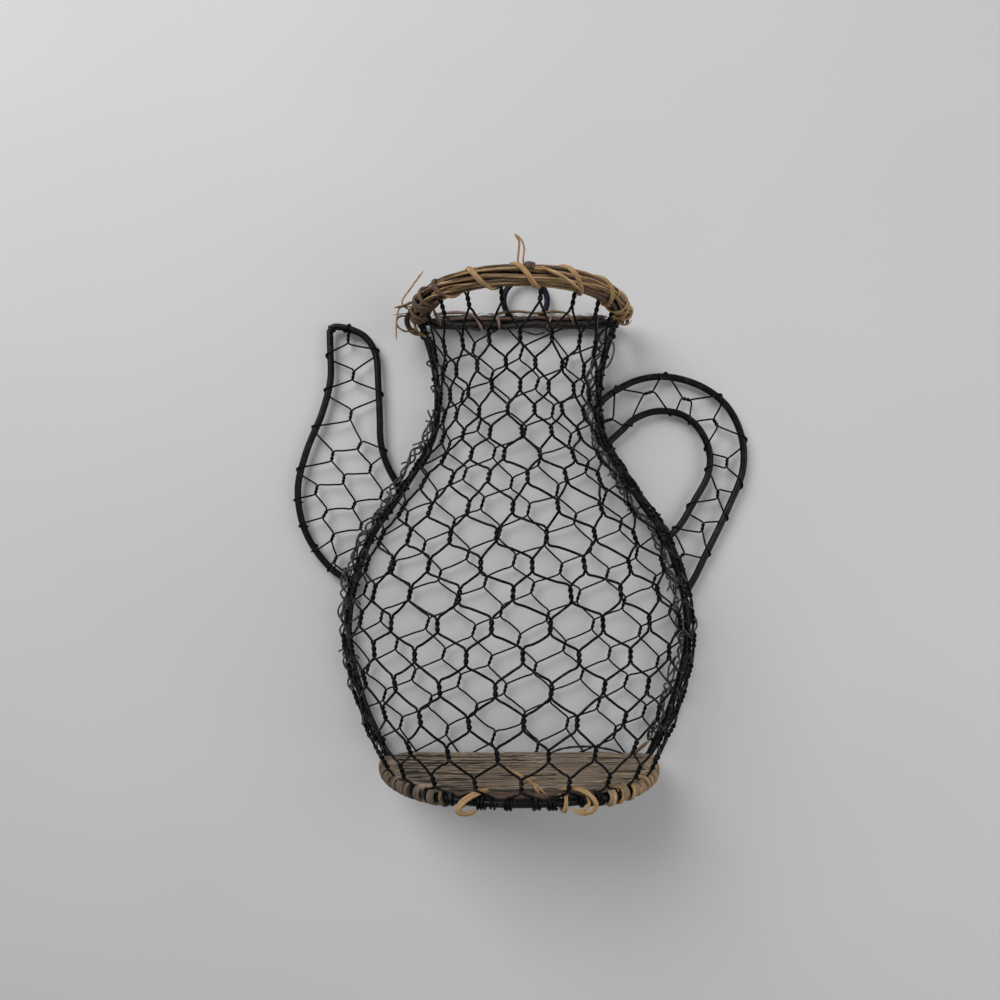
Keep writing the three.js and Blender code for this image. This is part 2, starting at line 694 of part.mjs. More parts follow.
// Points that wind round a hoop at a distance from its middle
function aroundHoop(hoop, share, radius, degrees) {
  const point = hoop.getPointAt(share);
  const along = hoop.getTangentAt(share);
  const up = new THREE.Vector3(0, 0, 1);
  const out = up.clone().cross(along).normalize();
  const angle = THREE.MathUtils.degToRad(degrees);
  point.addScaledVector(out, radius * Math.cos(angle));
  return point.addScaledVector(up, radius * Math.sin(angle));
}

function buildRimVines() {
  const hoop = hoopRoute(rimHeight, rimStrandEnd);
  const finishes = [brownVine, goldenVine, brownVine, darkVine, goldenVine, brownVine];
  for (let strand = 0; strand < rimStrands; strand += 1) {
    const first = 30 + (360 / rimStrands) * strand;
    const turned = (t) => aroundHoop(hoop, t, rimStrandOffset, first + rimStrandDrift * (t - 0.5));
    const finish = finishes[strand % finishes.length];
    add("rim_vine_" + (strand + 1), tube(smooth(steps(24, turned)), rimStrandDiameter, 20, 5), finish);
  }
  const boundHoop = hoopRoute(rimHeight, bindingEnd);
  const turnSteps = 10;
  const binding = steps(bindingTurns * turnSteps, (t) =>
    aroundHoop(boundHoop, t, bindingOffset, 360 * bindingTurns * (t - 0.5) + bindingMiddle));
  reportLeastGap("rim_binding_vine", binding, bindingDiameter, bindingTurns);
  add("rim_binding_vine", wound(binding, bindingDiameter, 5), goldenVine);
}

function buildBackVines() {
  const reach = bodySize(rimHeight, "half") - backVineEnd;
  const level = baseRodHeight + rimHeight;
  backVineAngles.forEach((degrees, i) => {
    const angle = THREE.MathUtils.degToRad(degrees);
    const y = rimStrandOffset * Math.cos(angle);
    const z = level + rimStrandOffset * Math.sin(angle);
    const route = new THREE.LineCurve3(new THREE.Vector3(-reach, y, z), new THREE.Vector3(reach, y, z));
    add("rim_back_vine_" + (i + 1), tube(route, rimStrandDiameter, 1), i ? darkVine : goldenVine);
  });
}

// A bar wound a few turns round the front of the base hoop
function windOnHoop(name, at, turns, offset, diameter, pitch, finish) {
  const hoop = hoopRoute(0, rodRadius + contactGap);
  const length = hoop.getLength();
  let share = 0;
  while (hoop.getPointAt(share).x > at) share += 0.0005;
  const turnSteps = 10;
  const route = steps(Math.round(turns * turnSteps), (t) =>
    aroundHoop(hoop, share + ((t - 0.5) * turns * pitch) / length, offset, 360 * turns * (t - 0.5) - 90));
  if (turns > 1.5) reportLeastGap(name, route, diameter, turns);
  add(name, wound(route, diameter, 5), finish);
}

function buildBaseTrim() {
  baseLoops.forEach(({ at, turns }, i) => {
    const name = "base_vine_loop_" + (i + 1);
    windOnHoop(name, at, turns, loopOffset, loopVineDiameter, loopVineDiameter * 1.3, goldenVine);
  });
  const tieOffset = rodRadius + contactGap + tieWire / 2;
  baseTies.forEach(({ at, turns }, i) => {
    windOnHoop("base_tie_wire_" + (i + 1), at, turns, tieOffset, tieWire, tiePitch, netSteel);
  });
}

// Loose ends of vine, each resting on what it grows from
function buildTwigs() {
  const rimLevel = baseRodHeight + rimHeight;
  const point = (x, y, z) => new THREE.Vector3(x, y, z);
  const front = -bodySize(rimHeight, "depth");
  const seat = rimLevel + bundleRadius + contactGap;
  const topTwig = [point(0, front, seat), point(-1, front, seat + 7), point(-4, front + 1, seat + 17)];
  add("rim_top_twig", tube(smooth(topTwig), twigDiameter, 5, 5), goldenVine);
  const hoop = hoopRoute(rimHeight, rimStrandEnd);
  const bundleEdge = bundleRadius + contactGap;
  tendrils.forEach(({ share, degrees, reaches }, i) => {
    const seated = [0, rootLength].map((out) => aroundHoop(hoop, share, bundleEdge + out, degrees));
    const free = reaches.map(([out, along, up]) => seated[0].clone().add(point(-out, along, up)));
    add("rim_left_tendril_" + (i + 1), tube(smooth([...seated, ...free]), twigDiameter, 6, 5), brownVine);
  });
  const floor = baseRodHeight + cordOffset + cordRadius + contactGap + twigDiameter / 2;
  const floorTwig = [[-10, -50], [-3, -62], [3, -75], [5, -83]].map(([x, y]) => point(x, y, floor));
  add("floor_twig", tube(smooth(floorTwig), twigDiameter, 6, 5), goldenVine);
}

buildFrame();
buildRing();
buildSpoutAndHandle();
buildFrontNet();
buildBackNet();
buildSpoutNet();
buildHandleNet();
buildFloor();
buildRimVines();
buildBackVines();
buildBaseTrim();
buildTwigs();

export default basket;
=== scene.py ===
"""A wire hanging basket shaped like a pitcher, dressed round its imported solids.

Shapes are worked out in millimetres: x towards the handle, y from the flat back (0) to the front
(negative), z up from the middle of the base rod. Meshes are written in the frame's metres.
"""

import logging
import math
import random
from dataclasses import dataclass, field
from enum import Enum
from functools import cache
from itertools import product

import bpy
import numpy as np
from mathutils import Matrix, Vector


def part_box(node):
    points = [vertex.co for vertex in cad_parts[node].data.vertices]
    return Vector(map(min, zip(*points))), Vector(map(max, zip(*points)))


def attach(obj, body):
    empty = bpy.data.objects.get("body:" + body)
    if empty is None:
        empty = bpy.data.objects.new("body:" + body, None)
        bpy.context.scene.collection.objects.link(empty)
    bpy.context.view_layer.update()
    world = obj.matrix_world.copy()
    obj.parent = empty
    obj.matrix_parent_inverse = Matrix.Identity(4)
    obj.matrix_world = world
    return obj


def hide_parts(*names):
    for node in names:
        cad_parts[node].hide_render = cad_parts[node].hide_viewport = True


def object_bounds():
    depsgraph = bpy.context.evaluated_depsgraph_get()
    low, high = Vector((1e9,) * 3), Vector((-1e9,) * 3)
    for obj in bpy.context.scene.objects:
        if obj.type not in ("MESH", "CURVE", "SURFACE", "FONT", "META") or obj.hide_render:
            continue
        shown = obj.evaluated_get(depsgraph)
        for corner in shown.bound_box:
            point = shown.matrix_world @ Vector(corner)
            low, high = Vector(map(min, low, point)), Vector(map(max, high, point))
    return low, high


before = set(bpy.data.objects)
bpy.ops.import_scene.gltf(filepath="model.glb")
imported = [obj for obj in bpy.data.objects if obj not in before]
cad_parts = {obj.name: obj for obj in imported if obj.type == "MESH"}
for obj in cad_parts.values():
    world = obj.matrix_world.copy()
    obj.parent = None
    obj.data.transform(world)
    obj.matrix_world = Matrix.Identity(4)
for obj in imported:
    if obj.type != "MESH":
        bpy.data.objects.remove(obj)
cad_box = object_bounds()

log = logging.getLogger("basket")

Array = np.ndarray
Pair = tuple[float, float]
Pairs = tuple[Pair, ...]
Triple = tuple[float, float, float]

MM = 0.001
BODY = "root"
LEFT, RIGHT = -1, 1
UP = np.array([0.0, 0.0, 1.0])
FRONT = np.array([0.0, -1.0, 0.0])

base_low, base_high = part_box("base_back_bar")
BACK_Y = (base_low.y + base_high.y) / 2
BASE_Z = (base_low.z + base_high.z) / 2


class Slot(Enum):
    """The record's material slots."""

    ROD = "rod_steel"
    NET = "net_steel"
    BROWN = "brown_vine"
    GOLDEN = "golden_vine"
    DARK = "dark_vine"
    CORD = "grey_cord"


def vec(*values: float) -> Array:
    """A point or direction in model millimetres."""
    return np.array(values, float)


def unit(vector: Array) -> Array:
    """The vector at length 1."""
    return vector / max(float(np.linalg.norm(vector)), 1e-9)


def square_to(vector: Array, axis: Array) -> Array:
    """The unit direction nearest to a vector that is square to an axis."""
    return unit(vector - axis * float(vector @ axis))


def wave(along: Array, length: float, seed: int) -> Array:
    """A smooth irregular wave between about -1 and 1.

    Args:
        along: Distances in mm.
        length: The wave's main length in mm.
        seed: Picks the wave.

    Returns:
        One value for each distance.
    """
    rng = random.Random(seed)
    total = np.zeros_like(np.asarray(along, float))
    for share, weight in ((1.0, 0.5), (0.61, 0.3), (0.37, 0.2)):
        total += weight * np.sin(2 * math.pi * (along / (length * share) + rng.random()))
    return total


def smooth(points: list[Array] | Array, spacing: float) -> Array:
    """Samples a centripetal curve through points.

    Args:
        points: The points that the curve passes.
        spacing: The most that neighbouring samples lie apart, in mm.

    Returns:
        The samples, one row each.
    """
    points = np.asarray(points, float)
    padded = np.vstack([2 * points[0] - points[1], points, 2 * points[-1] - points[-2]])
    gaps = np.maximum(np.linalg.norm(np.diff(padded, axis=0), axis=1), 1e-4)
    knots = np.sqrt(gaps)
    samples = []
    for i in range(len(points) - 1):
        p0, p1, p2, p3 = padded[i:i + 4]
        d0, d1, d2 = knots[i:i + 3]
        out = ((p1 - p0) / d0 - (p2 - p0) / (d0 + d1) + (p2 - p1) / d1) * d1
        into = ((p2 - p1) / d1 - (p3 - p1) / (d1 + d2) + (p3 - p2) / d2) * d1
        count = max(1, math.ceil(gaps[i + 1] / spacing))
        t = (np.arange(count) / count)[:, None]
        samples.append(
            p1 + out * t + (3 * (p2 - p1) - 2 * out - into) * t**2 + (2 * (p1 - p2) + out + into) * t**3
        )
    return np.vstack([*samples, points[-1:]])


def lengths(points: Array) -> Array:
    """Distance along a route to each of its points, in mm."""
    return np.concatenate([[0.0], np.cumsum(np.linalg.norm(np.diff(points, axis=0), axis=1))])


def tangents(points: Array) -> Array:
    """Works out which way a route runs.

    Args:
        points: The route's points.

    Returns:
        Its unit direction at each of them.
    """
    ahead = np.vstack([points[1:], points[-1:]])
    behind = np.vstack([points[:1], points[:-1]])
    step = ahead - behind
    return step / np.maximum(np.linalg.norm(step, axis=1, keepdims=True), 1e-9)


@dataclass(frozen=True)
class Spot:
    """The place on a route that is nearest to a point, the route's direction there and how far off it is."""

    place: Array
    way: Array
    apart: float
    along: float


@dataclass
class Route:
    """A curve in model millimetres that can be asked for a point at a share of its length."""

    points: Array
    along: Array = field(init=False)
    ways: Array = field(init=False)

    def __post_init__(self) -> None:
        """Measures the curve."""
        self.along = lengths(self.points)
        self.ways = tangents(self.points)

    @property
    def length(self) -> float:
        """The curve's length in mm."""
        return float(self.along[-1])

    def at(self, share: float) -> Array:
        """The point at a share of the length."""
        reach = share * self.length
        return np.array([np.interp(reach, self.along, self.points[:, k]) for k in range(3)])

    def way(self, share: float) -> Array:
        """The unit direction at a share of the length."""
        reach = share * self.length
        return unit(np.array([np.interp(reach, self.along, self.ways[:, k]) for k in range(3)]))

    def nearest(self, point: Array) -> Spot:
        """Finds the nearest place on the curve.

        Args:
            point: The point that it is nearest to.

        Returns:
            That place.
        """
        apart = np.linalg.norm(self.points - point, axis=1)
        i = int(np.argmin(apart))
        return Spot(self.points[i], self.ways[i], float(apart[i]), float(self.along[i]))


# A strand's thickness wanders over WANDER radii of length and its section is lumpy over LUMP radii, by
# LUMP_DEPTH of its roughness. PLY_SHARPNESS shapes the grooves between its plies, and a pointed end is
# POINT of its width.
WANDER, LUMP, LUMP_DEPTH = 11, 9, 0.35
PLY_SHARPNESS = 0.7
POINT = 0.25
# Each strand reads its fibre from a place of its own, FIBRE_STEP mm on for each seed, within FIBRE_SPAN mm.
FIBRE_STEP, FIBRE_SPAN = 7.31, 400
# A dome rises by DOME radii, or by less on a pointed end, and its ring is DOME_WIDTH as wide as the strand.
DOME, POINTED_DOME, DOME_WIDTH = 0.35, 0.4, 0.62


@dataclass
class Strand:
    """A length of rod, wire, vine or cord, round unless it is given a flat or lobes.

    Attributes:
        route: Points along its middle, in mm.
        radius: Its radius in mm.
        sides: Corners of its section.
        rough: Share of the radius by which its thickness wanders.
        flat: Its thickness as a share of its width.
        facing: The direction across its thickness at each point, for a flat strand.
        lobes: Plies that show round its section.
        groove: Depth between plies, as a share of the radius, everywhere or at each point.
        phase: Turns the plies round the section, in radians.
        lay: Length of one turn of the plies, in mm.
        taper: Length of its pointed ends in mm, or 0 for ends cut square.
        tone: How golden (1) or dark (-1) each point is.
        seed: Picks its own irregularity.
    """

    route: Array
    radius: float
    sides: int = 8
    rough: float = 0.0
    flat: float = 1.0
    facing: Array | None = None
    lobes: int = 0
    groove: float | Array = 0.0
    phase: float = 0.0
    lay: float = 30.0
    taper: float = 0.0
    tone: Array | None = None
    seed: int = 0

    def sections(self) -> tuple[Array, Array]:
        """Works out the strand's sections, carried along without twisting.

        Returns:
            Two unit directions across the strand at each point.
        """
        ways = tangents(self.route)
        first = np.empty_like(self.route)
        start = vec(0, 1, 0) if abs(ways[0][1]) < 0.9 else vec(1, 0, 0)
        carried = square_to(start, ways[0])
        for i, way in enumerate(ways):
            guide = carried if self.facing is None else self.facing[i]
            carried = square_to(guide, way)
            first[i] = carried
        return first, np.cross(ways, first)

    def rings(self) -> tuple[Array, Array]:
        """Corners of every section.

        Returns:
            The corners, and where each lies in the strand's own fibre: across, across and along.
        """
        along = lengths(self.route)
        first, second = self.sections()
        turn = np.arange(self.sides) / self.sides * 2 * math.pi
        angle = turn[None, :] + np.zeros((len(along), 1))
        size = np.full(angle.shape, self.radius)
        if self.rough:
            size *= 1 + self.rough * wave(along, WANDER * self.radius, self.seed)[:, None]
            for lumps in (2, 3):
                turned = wave(along, LUMP * self.radius, self.seed + lumps)[:, None] * 4
                size *= 1 + LUMP_DEPTH * self.rough * np.sin(lumps * angle + turned)
        if self.lobes:
            ply = self.lobes * (angle + (along / self.lay * 2 * math.pi)[:, None]) + self.phase
            depth = np.broadcast_to(self.groove, along.shape)[:, None]
            size *= 1 - depth * (1 - np.abs(np.cos(ply / 2)) ** PLY_SHARPNESS)
        if self.taper:
            ends = np.minimum(along, along[-1] - along) / self.taper
            size *= np.clip(POINT + (1 - POINT) * ends, POINT, 1)[:, None]
        over = size * np.cos(angle) * self.flat
        side = size * np.sin(angle)
        corners = self.route[:, None] + over[..., None] * first[:, None] + side[..., None] * second[:, None]
        offset = (self.seed * FIBRE_STEP) % FIBRE_SPAN
        fibre = np.stack([np.cos(angle) * self.radius, np.sin(angle) * self.radius,
                          along[:, None] + offset + 0 * angle], axis=-1)
        return corners, fibre


@dataclass
class Meshed:
    """Vertices, faces and vertex values gathered from strands and patches."""

    places: list[Array] = field(default_factory=list)
    fibres: list[Array] = field(default_factory=list)
    tones: list[Array] = field(default_factory=list)
    faces: list[list[int]] = field(default_factory=list)
    count: int = 0

    def add(self, strand: Strand) -> None:
        """Adds a strand with a domed cap on each end.

        Args:
            strand: The strand.
        """
        corners, fibre = strand.rings()
        ways = tangents(strand.route)
        middles = strand.route
        bulge = DOME * strand.radius * (POINTED_DOME if strand.taper else 1.0)
        domes = []
        for i, direction in ((0, -1), (-1, 1)):
            lifted = corners[i] * DOME_WIDTH + middles[i] * (1 - DOME_WIDTH) + ways[i] * bulge * direction
            domes.append(lifted[None])
        corners = np.vstack([domes[0], corners, domes[1]])
        fibre = np.vstack([fibre[:1], fibre, fibre[-1:]])
        tone = np.zeros(len(middles)) if strand.tone is None else strand.tone
        tone = np.concatenate([tone[:1], tone, tone[-1:]])
        rings, sides = corners.shape[:2]
        ring = np.arange(rings - 1)[:, None] * sides + self.count
        here = np.arange(sides)[None, :]
        after = (here + 1) % sides
        quads = np.stack([ring + here, ring + after, ring + sides + after, ring + sides + here], axis=-1)
        self.faces.extend(quads.reshape(-1, 4).tolist())
        last = self.count + (rings - 1) * sides
        self.faces.append([self.count + k for k in reversed(range(sides))])
        self.faces.append([last + k for k in range(sides)])
        self.places.append(corners.reshape(-1, 3))
        self.fibres.append(fibre.reshape(-1, 3))
        self.tones.append(np.repeat(tone, sides))
        self.count += rings * sides


def make_piece(
    name: str, strands: list[Strand], finish: "Finish", stands_for: tuple[str, ...] = (), floor: bool = False
) -> None:
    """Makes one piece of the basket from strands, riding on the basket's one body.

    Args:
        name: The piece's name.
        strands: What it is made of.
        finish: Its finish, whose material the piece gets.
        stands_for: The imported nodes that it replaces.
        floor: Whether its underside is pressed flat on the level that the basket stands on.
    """
    gathered = Meshed()
    for strand in strands:
        gathered.add(strand)
    places = np.vstack(gathered.places) * MM + vec(0, BACK_Y, BASE_Z)
    if floor:
        places[:, 2] = np.maximum(places[:, 2], 0)
    mesh = bpy.data.meshes.new(name)
    mesh.from_pydata(places.tolist(), [], gathered.faces)
    fibre = mesh.attributes.new("fibre", "FLOAT_VECTOR", "POINT")
    fibre.data.foreach_set("vector", np.vstack(gathered.fibres).ravel())
    tone = mesh.attributes.new("tone", "FLOAT", "POINT")
    tone.data.foreach_set("value", np.concatenate(gathered.tones))
    mesh.shade_smooth()
    mesh.validate()
    piece = bpy.data.objects.new(name, mesh)
    bpy.context.scene.collection.objects.link(piece)
    mesh.materials.append(finish.material())
    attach(piece, BODY)
    if stands_for:
        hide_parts(*stands_for)
    log.info("%s: %d strands, %d faces", name, len(strands), len(mesh.polygons))


class Nodes:
    """Adds nodes to a shader tree, with their values and links."""

    def __init__(self, tree: bpy.types.NodeTree) -> None:
        """Keeps the tree."""
        self.tree = tree

    @classmethod
    def of(cls, owner: bpy.types.ID) -> "Nodes":
        """Starts the nodes of a material or world afresh.

        Args:
            owner: The material or world.

        Returns:
            The helper that adds its nodes.
        """
        owner.use_nodes = True
        owner.node_tree.nodes.clear()
        return cls(owner.node_tree)

    def add(self, kind: str, values: dict | None = None, **settings: object) -> bpy.types.Node:
        """Adds one node.

        Args:
            kind: The node's type.
            values: What each input gets: a value, or another node's output.
            **settings: The node's own properties.

        Returns:
            The new node.
        """
        node = self.tree.nodes.new(kind)
        for name, value in settings.items():
            setattr(node, name, value)
        for name, value in (values or {}).items():
            if isinstance(value, bpy.types.NodeSocket):
                self.tree.links.new(value, node.inputs[name])
            else:
                node.inputs[name].default_value = value
        return node

    def math(self, operation: str, first: object, second: object = 0.0, clamp: bool = False) -> object:
        """The output of a math node."""
        node = self.add("ShaderNodeMath", {0: first, 1: second}, operation=operation, use_clamp=clamp)
        return node.outputs[0]

    def mix(self, factor: object, first: object, second: object) -> object:
        """The colour that a mix of two colours gives."""
        return self.add("ShaderNodeMix", {0: factor, 6: first, 7: second}, data_type="RGBA").outputs[2]

    def ramp(self, factor: object, stops: list[tuple[float, tuple]]) -> object:
        """Adds a colour ramp.

        Args:
            factor: What is looked up in it.
            stops: Position and colour of each stop.

        Returns:
            The ramp's colour.
        """
        node = self.add("ShaderNodeValToRGB", {"Fac": factor})
        elements = node.color_ramp.elements
        while len(elements) < len(stops):
            elements.new(1.0)
        for element, (position, colour) in zip(elements, stops):
            element.position = position
            element.color = colour
        return node.outputs["Color"]


def new_group(name: str, inputs: list[tuple[str, str, object]], outputs: list[str]) -> tuple[Nodes, object]:
    """Starts a shader node group that puts out numbers.

    Args:
        name: The group's name.
        inputs: Name, kind and usual value of each input; kind is Float or Vector.
        outputs: Name of each output.

    Returns:
        The helper that adds its nodes, and what it is given.
    """
    group = bpy.data.node_groups.new(name, "ShaderNodeTree")
    for label, kind, value in inputs:
        socket = group.interface.new_socket(label, in_out="INPUT", socket_type="NodeSocket" + kind)
        if value is not None:
            socket.default_value = value
    for label in outputs:
        group.interface.new_socket(label, in_out="OUTPUT", socket_type="NodeSocketFloat")
    nodes = Nodes(group)
    return nodes, nodes.add("NodeGroupInput").outputs


@cache
def fibre_group() -> bpy.types.NodeTree:
    """Builds long streaks of bark or plant fibre, with patches along them and a height for bumps.

    Returns:
        The node group, made the first time that it is asked for.
    """
    nodes, given = new_group(
        "fibre_streaks", [("Fibre", "Vector", None), ("Across", "Float", 1.5), ("Along", "Float", 0.08)],
        ["Streak", "Patch", "Height"])
    across = given["Across"]
    scale = nodes.add("ShaderNodeCombineXYZ", {0: across, 1: across, 2: given["Along"]}).outputs[0]
    place = nodes.add("ShaderNodeVectorMath", {0: given["Fibre"], 1: scale}, operation="MULTIPLY").outputs[0]
    streak, patch, fine = (
        nodes.add("ShaderNodeTexNoise", {"Vector": place} | looks).outputs["Fac"] for looks in (
            {"Scale": 1.0, "Detail": 5.0, "Roughness": 0.62},
            {"Scale": 0.37, "Detail": 2.0, "Roughness": 0.5},
            {"Scale": 3.1, "Detail": 3.0, "Roughness": 0.6},
        ))
    height = nodes.math("ADD", nodes.math("MULTIPLY", streak, 0.7), nodes.math("MULTIPLY", fine, 0.3))
    nodes.add("NodeGroupOutput", {"Streak": streak, "Patch": patch, "Height": height})
    return nodes.tree


@cache
def wear_group() -> bpy.types.NodeTree:
    """Builds rubbed spots and dull patches on painted steel, with a height for bumps.

    Returns:
        The node group, made the first time that it is asked for.
    """
    nodes, given = new_group(
        "steel_wear", [("Place", "Vector", None), ("Scale", "Float", 300.0), ("Amount", "Float", 0.5)],
        ["Rubbed", "Dull", "Height"])
    place, scale = given["Place"], given["Scale"]
    broad = nodes.add("ShaderNodeTexNoise", {"Vector": place, "Scale": scale, "Detail": 4.0}).outputs["Fac"]
    finer = nodes.math("MULTIPLY", scale, 6.0)
    fine = nodes.add("ShaderNodeTexNoise", {"Vector": place, "Scale": finer, "Detail": 3.0}).outputs["Fac"]
    edge = nodes.math("SUBTRACT", 1.0, nodes.math("MULTIPLY", given["Amount"], 0.5))
    spot = nodes.math("SUBTRACT", broad, nodes.math("MULTIPLY", edge, 0.72))
    rubbed = nodes.math("MULTIPLY", spot, 6.0, clamp=True)
    nodes.add("NodeGroupOutput", {"Rubbed": rubbed, "Dull": fine, "Height": fine})
    return nodes.tree


@dataclass(frozen=True)
class Finish:
    """What every finish has: its material's name and the record's slot."""

    name: str
    slot: Slot

    @cache
    def material(self) -> bpy.types.Material:
        """Makes the finish's material the first time that it is asked for.

        Returns:
            The material.
        """
        made = bpy.data.materials.new(self.name)
        nodes = Nodes.of(made)
        nodes.add("ShaderNodeOutputMaterial", {"Surface": self.shade(nodes)})
        return made

    def shade(self, nodes: Nodes) -> object:
        """The shader that the material puts out."""
        raise NotImplementedError


@dataclass(frozen=True)
class SteelFinish(Finish):
    """Black painted steel, rubbed to a greyer tone in places."""

    paint: tuple = (0.004, 0.0042, 0.005, 1)
    rubbed: tuple = (0.02, 0.021, 0.024, 1)
    roughness: tuple = (0.18, 0.42)
    gloss: float = 0.07
    scale: float = 260.0
    amount: float = 0.5
    relief: float = 0.00006

    def shade(self, nodes: Nodes) -> object:
        """Mixes paint with rubbed spots and an uneven gloss.

        Args:
            nodes: Adds nodes to the material.

        Returns:
            The shader's output.
        """
        place = nodes.add("ShaderNodeTexCoord").outputs["Object"]
        given = {"Place": place, "Scale": self.scale, "Amount": self.amount}
        wear = nodes.add("ShaderNodeGroup", given, node_tree=wear_group()).outputs
        colour = nodes.mix(wear["Rubbed"], self.paint, self.rubbed)
        low, high = self.roughness
        dull = nodes.math("ADD", nodes.math("MULTIPLY", wear["Dull"], high - low), low)
        bump = {"Height": wear["Height"], "Strength": 0.5, "Distance": self.relief}
        normal = nodes.add("ShaderNodeBump", bump).outputs[0]
        shader = nodes.add("ShaderNodeBsdfPrincipled", {
            "Base Color": colour, "Roughness": dull, "Metallic": 0.0, "Specular IOR Level": self.gloss,
            "Normal": normal})
        return shader.outputs[0]


@dataclass(frozen=True)
class PlantFinish(Finish):
    """Dry bark or plant fibre, streaked along its length."""

    # The darkest streak colour is the bark's grain with painted shade in its grooves. The lightest is its
    # grain with painted highlight on its ridges.
    pit_and_shade: tuple = (0.03, 0.02, 0.012, 1)
    body: tuple = (0.15, 0.09, 0.045, 1)
    ridge_and_highlight: tuple = (0.33, 0.21, 0.11, 1)
    golden: tuple = (0.46, 0.27, 0.1, 1)
    dark: tuple = (0.03, 0.022, 0.018, 1)
    across: float = 1.3
    along: float = 0.09
    roughness: float = 0.82
    relief: float = 0.0005
    tint: float = 0.3

    def shade(self, nodes: Nodes) -> object:
        """Mixes streaks from pit to ridge, which paint shade into the low grooves and highlight onto the
        raised ridges over the bark's own grain, patches of another tone and the strand's golden or dark
        share.

        Args:
            nodes: Adds nodes to the material.

        Returns:
            The shader's output.
        """
        fibre = nodes.add("ShaderNodeAttribute", attribute_name="fibre").outputs["Vector"]
        tone = nodes.add("ShaderNodeAttribute", attribute_name="tone").outputs["Fac"]
        given = {"Fibre": fibre, "Across": self.across, "Along": self.along}
        streaks = nodes.add("ShaderNodeGroup", given, node_tree=fibre_group()).outputs
        streak = streaks["Streak"]
        # The ramp darkens the low streaks as painted shade and lightens the raised ones as painted highlight,
        # following the bump's height.
        stops = [(0.3, self.pit_and_shade), (0.44, self.body), (0.56, self.body), (0.72, self.ridge_and_highlight)]
        colour = nodes.ramp(streak, stops)
        above = nodes.math("SUBTRACT", streaks["Patch"], 0.45)
        patch = nodes.math("MULTIPLY", above, 4 * self.tint, clamp=True)
        colour = nodes.mix(patch, colour, self.ridge_and_highlight)
        golden = nodes.math("MULTIPLY", tone, 0.8, clamp=True)
        dark = nodes.math("MULTIPLY", tone, -0.9, clamp=True)
        # The golden and dark ramps follow the same streaks: lighter on the raised ones as painted highlight,
        # darker in the low ones as painted shade.
        gold = nodes.ramp(streak, [(0.3, self.dark), (0.45, self.body), (0.6, self.golden)])
        deep = nodes.ramp(streak, [(0.35, self.dark), (0.75, self.body)])
        colour = nodes.mix(golden, colour, gold)
        colour = nodes.mix(dark, colour, deep)
        bump = {"Height": streaks["Height"], "Strength": 0.9, "Distance": self.relief}
        normal = nodes.add("ShaderNodeBump", bump).outputs[0]
        shader = nodes.add("ShaderNodeBsdfPrincipled", {
            "Base Color": colour, "Roughness": self.roughness, "Metallic": 0.0, "Normal": normal})
        return shader.outputs[0]


@dataclass(frozen=True)
class Finishes:
    """Every finish on the basket."""

    rod: SteelFinish = SteelFinish(
        "rod_black", Slot.ROD, paint=(0.0026, 0.0029, 0.0035, 1), scale=180.0, gloss=0.13)
    ring: SteelFinish = SteelFinish(
        "ring_blue_black", Slot.ROD, paint=(0.008, 0.0105, 0.018, 1), rubbed=(0.03, 0.036, 0.05, 1),
        scale=220.0)
    # The wire's rubbed spots are wear, and they are made lighter still as painted highlight standing for
    # glints along the wires.
    wire: SteelFinish = SteelFinish(
        "wire_black", Slot.NET, paint=(0.0022, 0.0023, 0.0026, 1), rubbed=(0.034, 0.034, 0.034, 1),
        roughness=(0.15, 0.34), gloss=0.075, scale=420.0)
    worn: SteelFinish = SteelFinish(
        "wire_worn", Slot.NET, paint=(0.011, 0.01, 0.0085, 1), rubbed=(0.12, 0.108, 0.088, 1), gloss=0.3,
        scale=420.0, amount=0.7)
    brown: PlantFinish = PlantFinish(
        "bark_brown", Slot.BROWN, pit_and_shade=(0.008, 0.005, 0.003, 1), body=(0.12, 0.07, 0.034, 1),
        ridge_and_highlight=(0.52, 0.35, 0.19, 1))
    golden: PlantFinish = PlantFinish(
        "bark_golden", Slot.GOLDEN, pit_and_shade=(0.018, 0.01, 0.005, 1), body=(0.35, 0.205, 0.086, 1),
        ridge_and_highlight=(0.92, 0.67, 0.38, 1), golden=(0.62, 0.4, 0.17, 1))
    mauve: PlantFinish = PlantFinish(
        "bark_mauve", Slot.DARK, pit_and_shade=(0.01, 0.007, 0.006, 1), body=(0.08, 0.046, 0.033, 1),
        ridge_and_highlight=(0.24, 0.155, 0.115, 1))
    pale: PlantFinish = PlantFinish(
        "fibre_pale", Slot.DARK, pit_and_shade=(0.03, 0.02, 0.017, 1), body=(0.2, 0.135, 0.105, 1),
        ridge_and_highlight=(0.4, 0.3, 0.24, 1))
    dark: PlantFinish = PlantFinish(
        "bark_dark", Slot.DARK, pit_and_shade=(0.003, 0.0024, 0.002, 1), body=(0.013, 0.01, 0.0085, 1),
        ridge_and_highlight=(0.055, 0.042, 0.033, 1), golden=(0.05, 0.035, 0.022, 1))
    shadow: PlantFinish = PlantFinish(
        "fibre_shadowed", Slot.CORD, pit_and_shade=(0.006, 0.005, 0.004, 1), body=(0.05, 0.039, 0.03, 1),
        ridge_and_highlight=(0.16, 0.128, 0.1, 1))
    cord: PlantFinish = PlantFinish(
        "cord_grey", Slot.CORD, pit_and_shade=(0.008, 0.006, 0.0045, 1), body=(0.225, 0.172, 0.125, 1),
        ridge_and_highlight=(0.98, 0.84, 0.67, 1), across=2.6, along=0.05, roughness=0.92, relief=0.0007)


FINISH = Finishes()


@dataclass(frozen=True)
class Station:
    """The body's size at one height, in mm."""

    height: float
    half: float
    depth: float


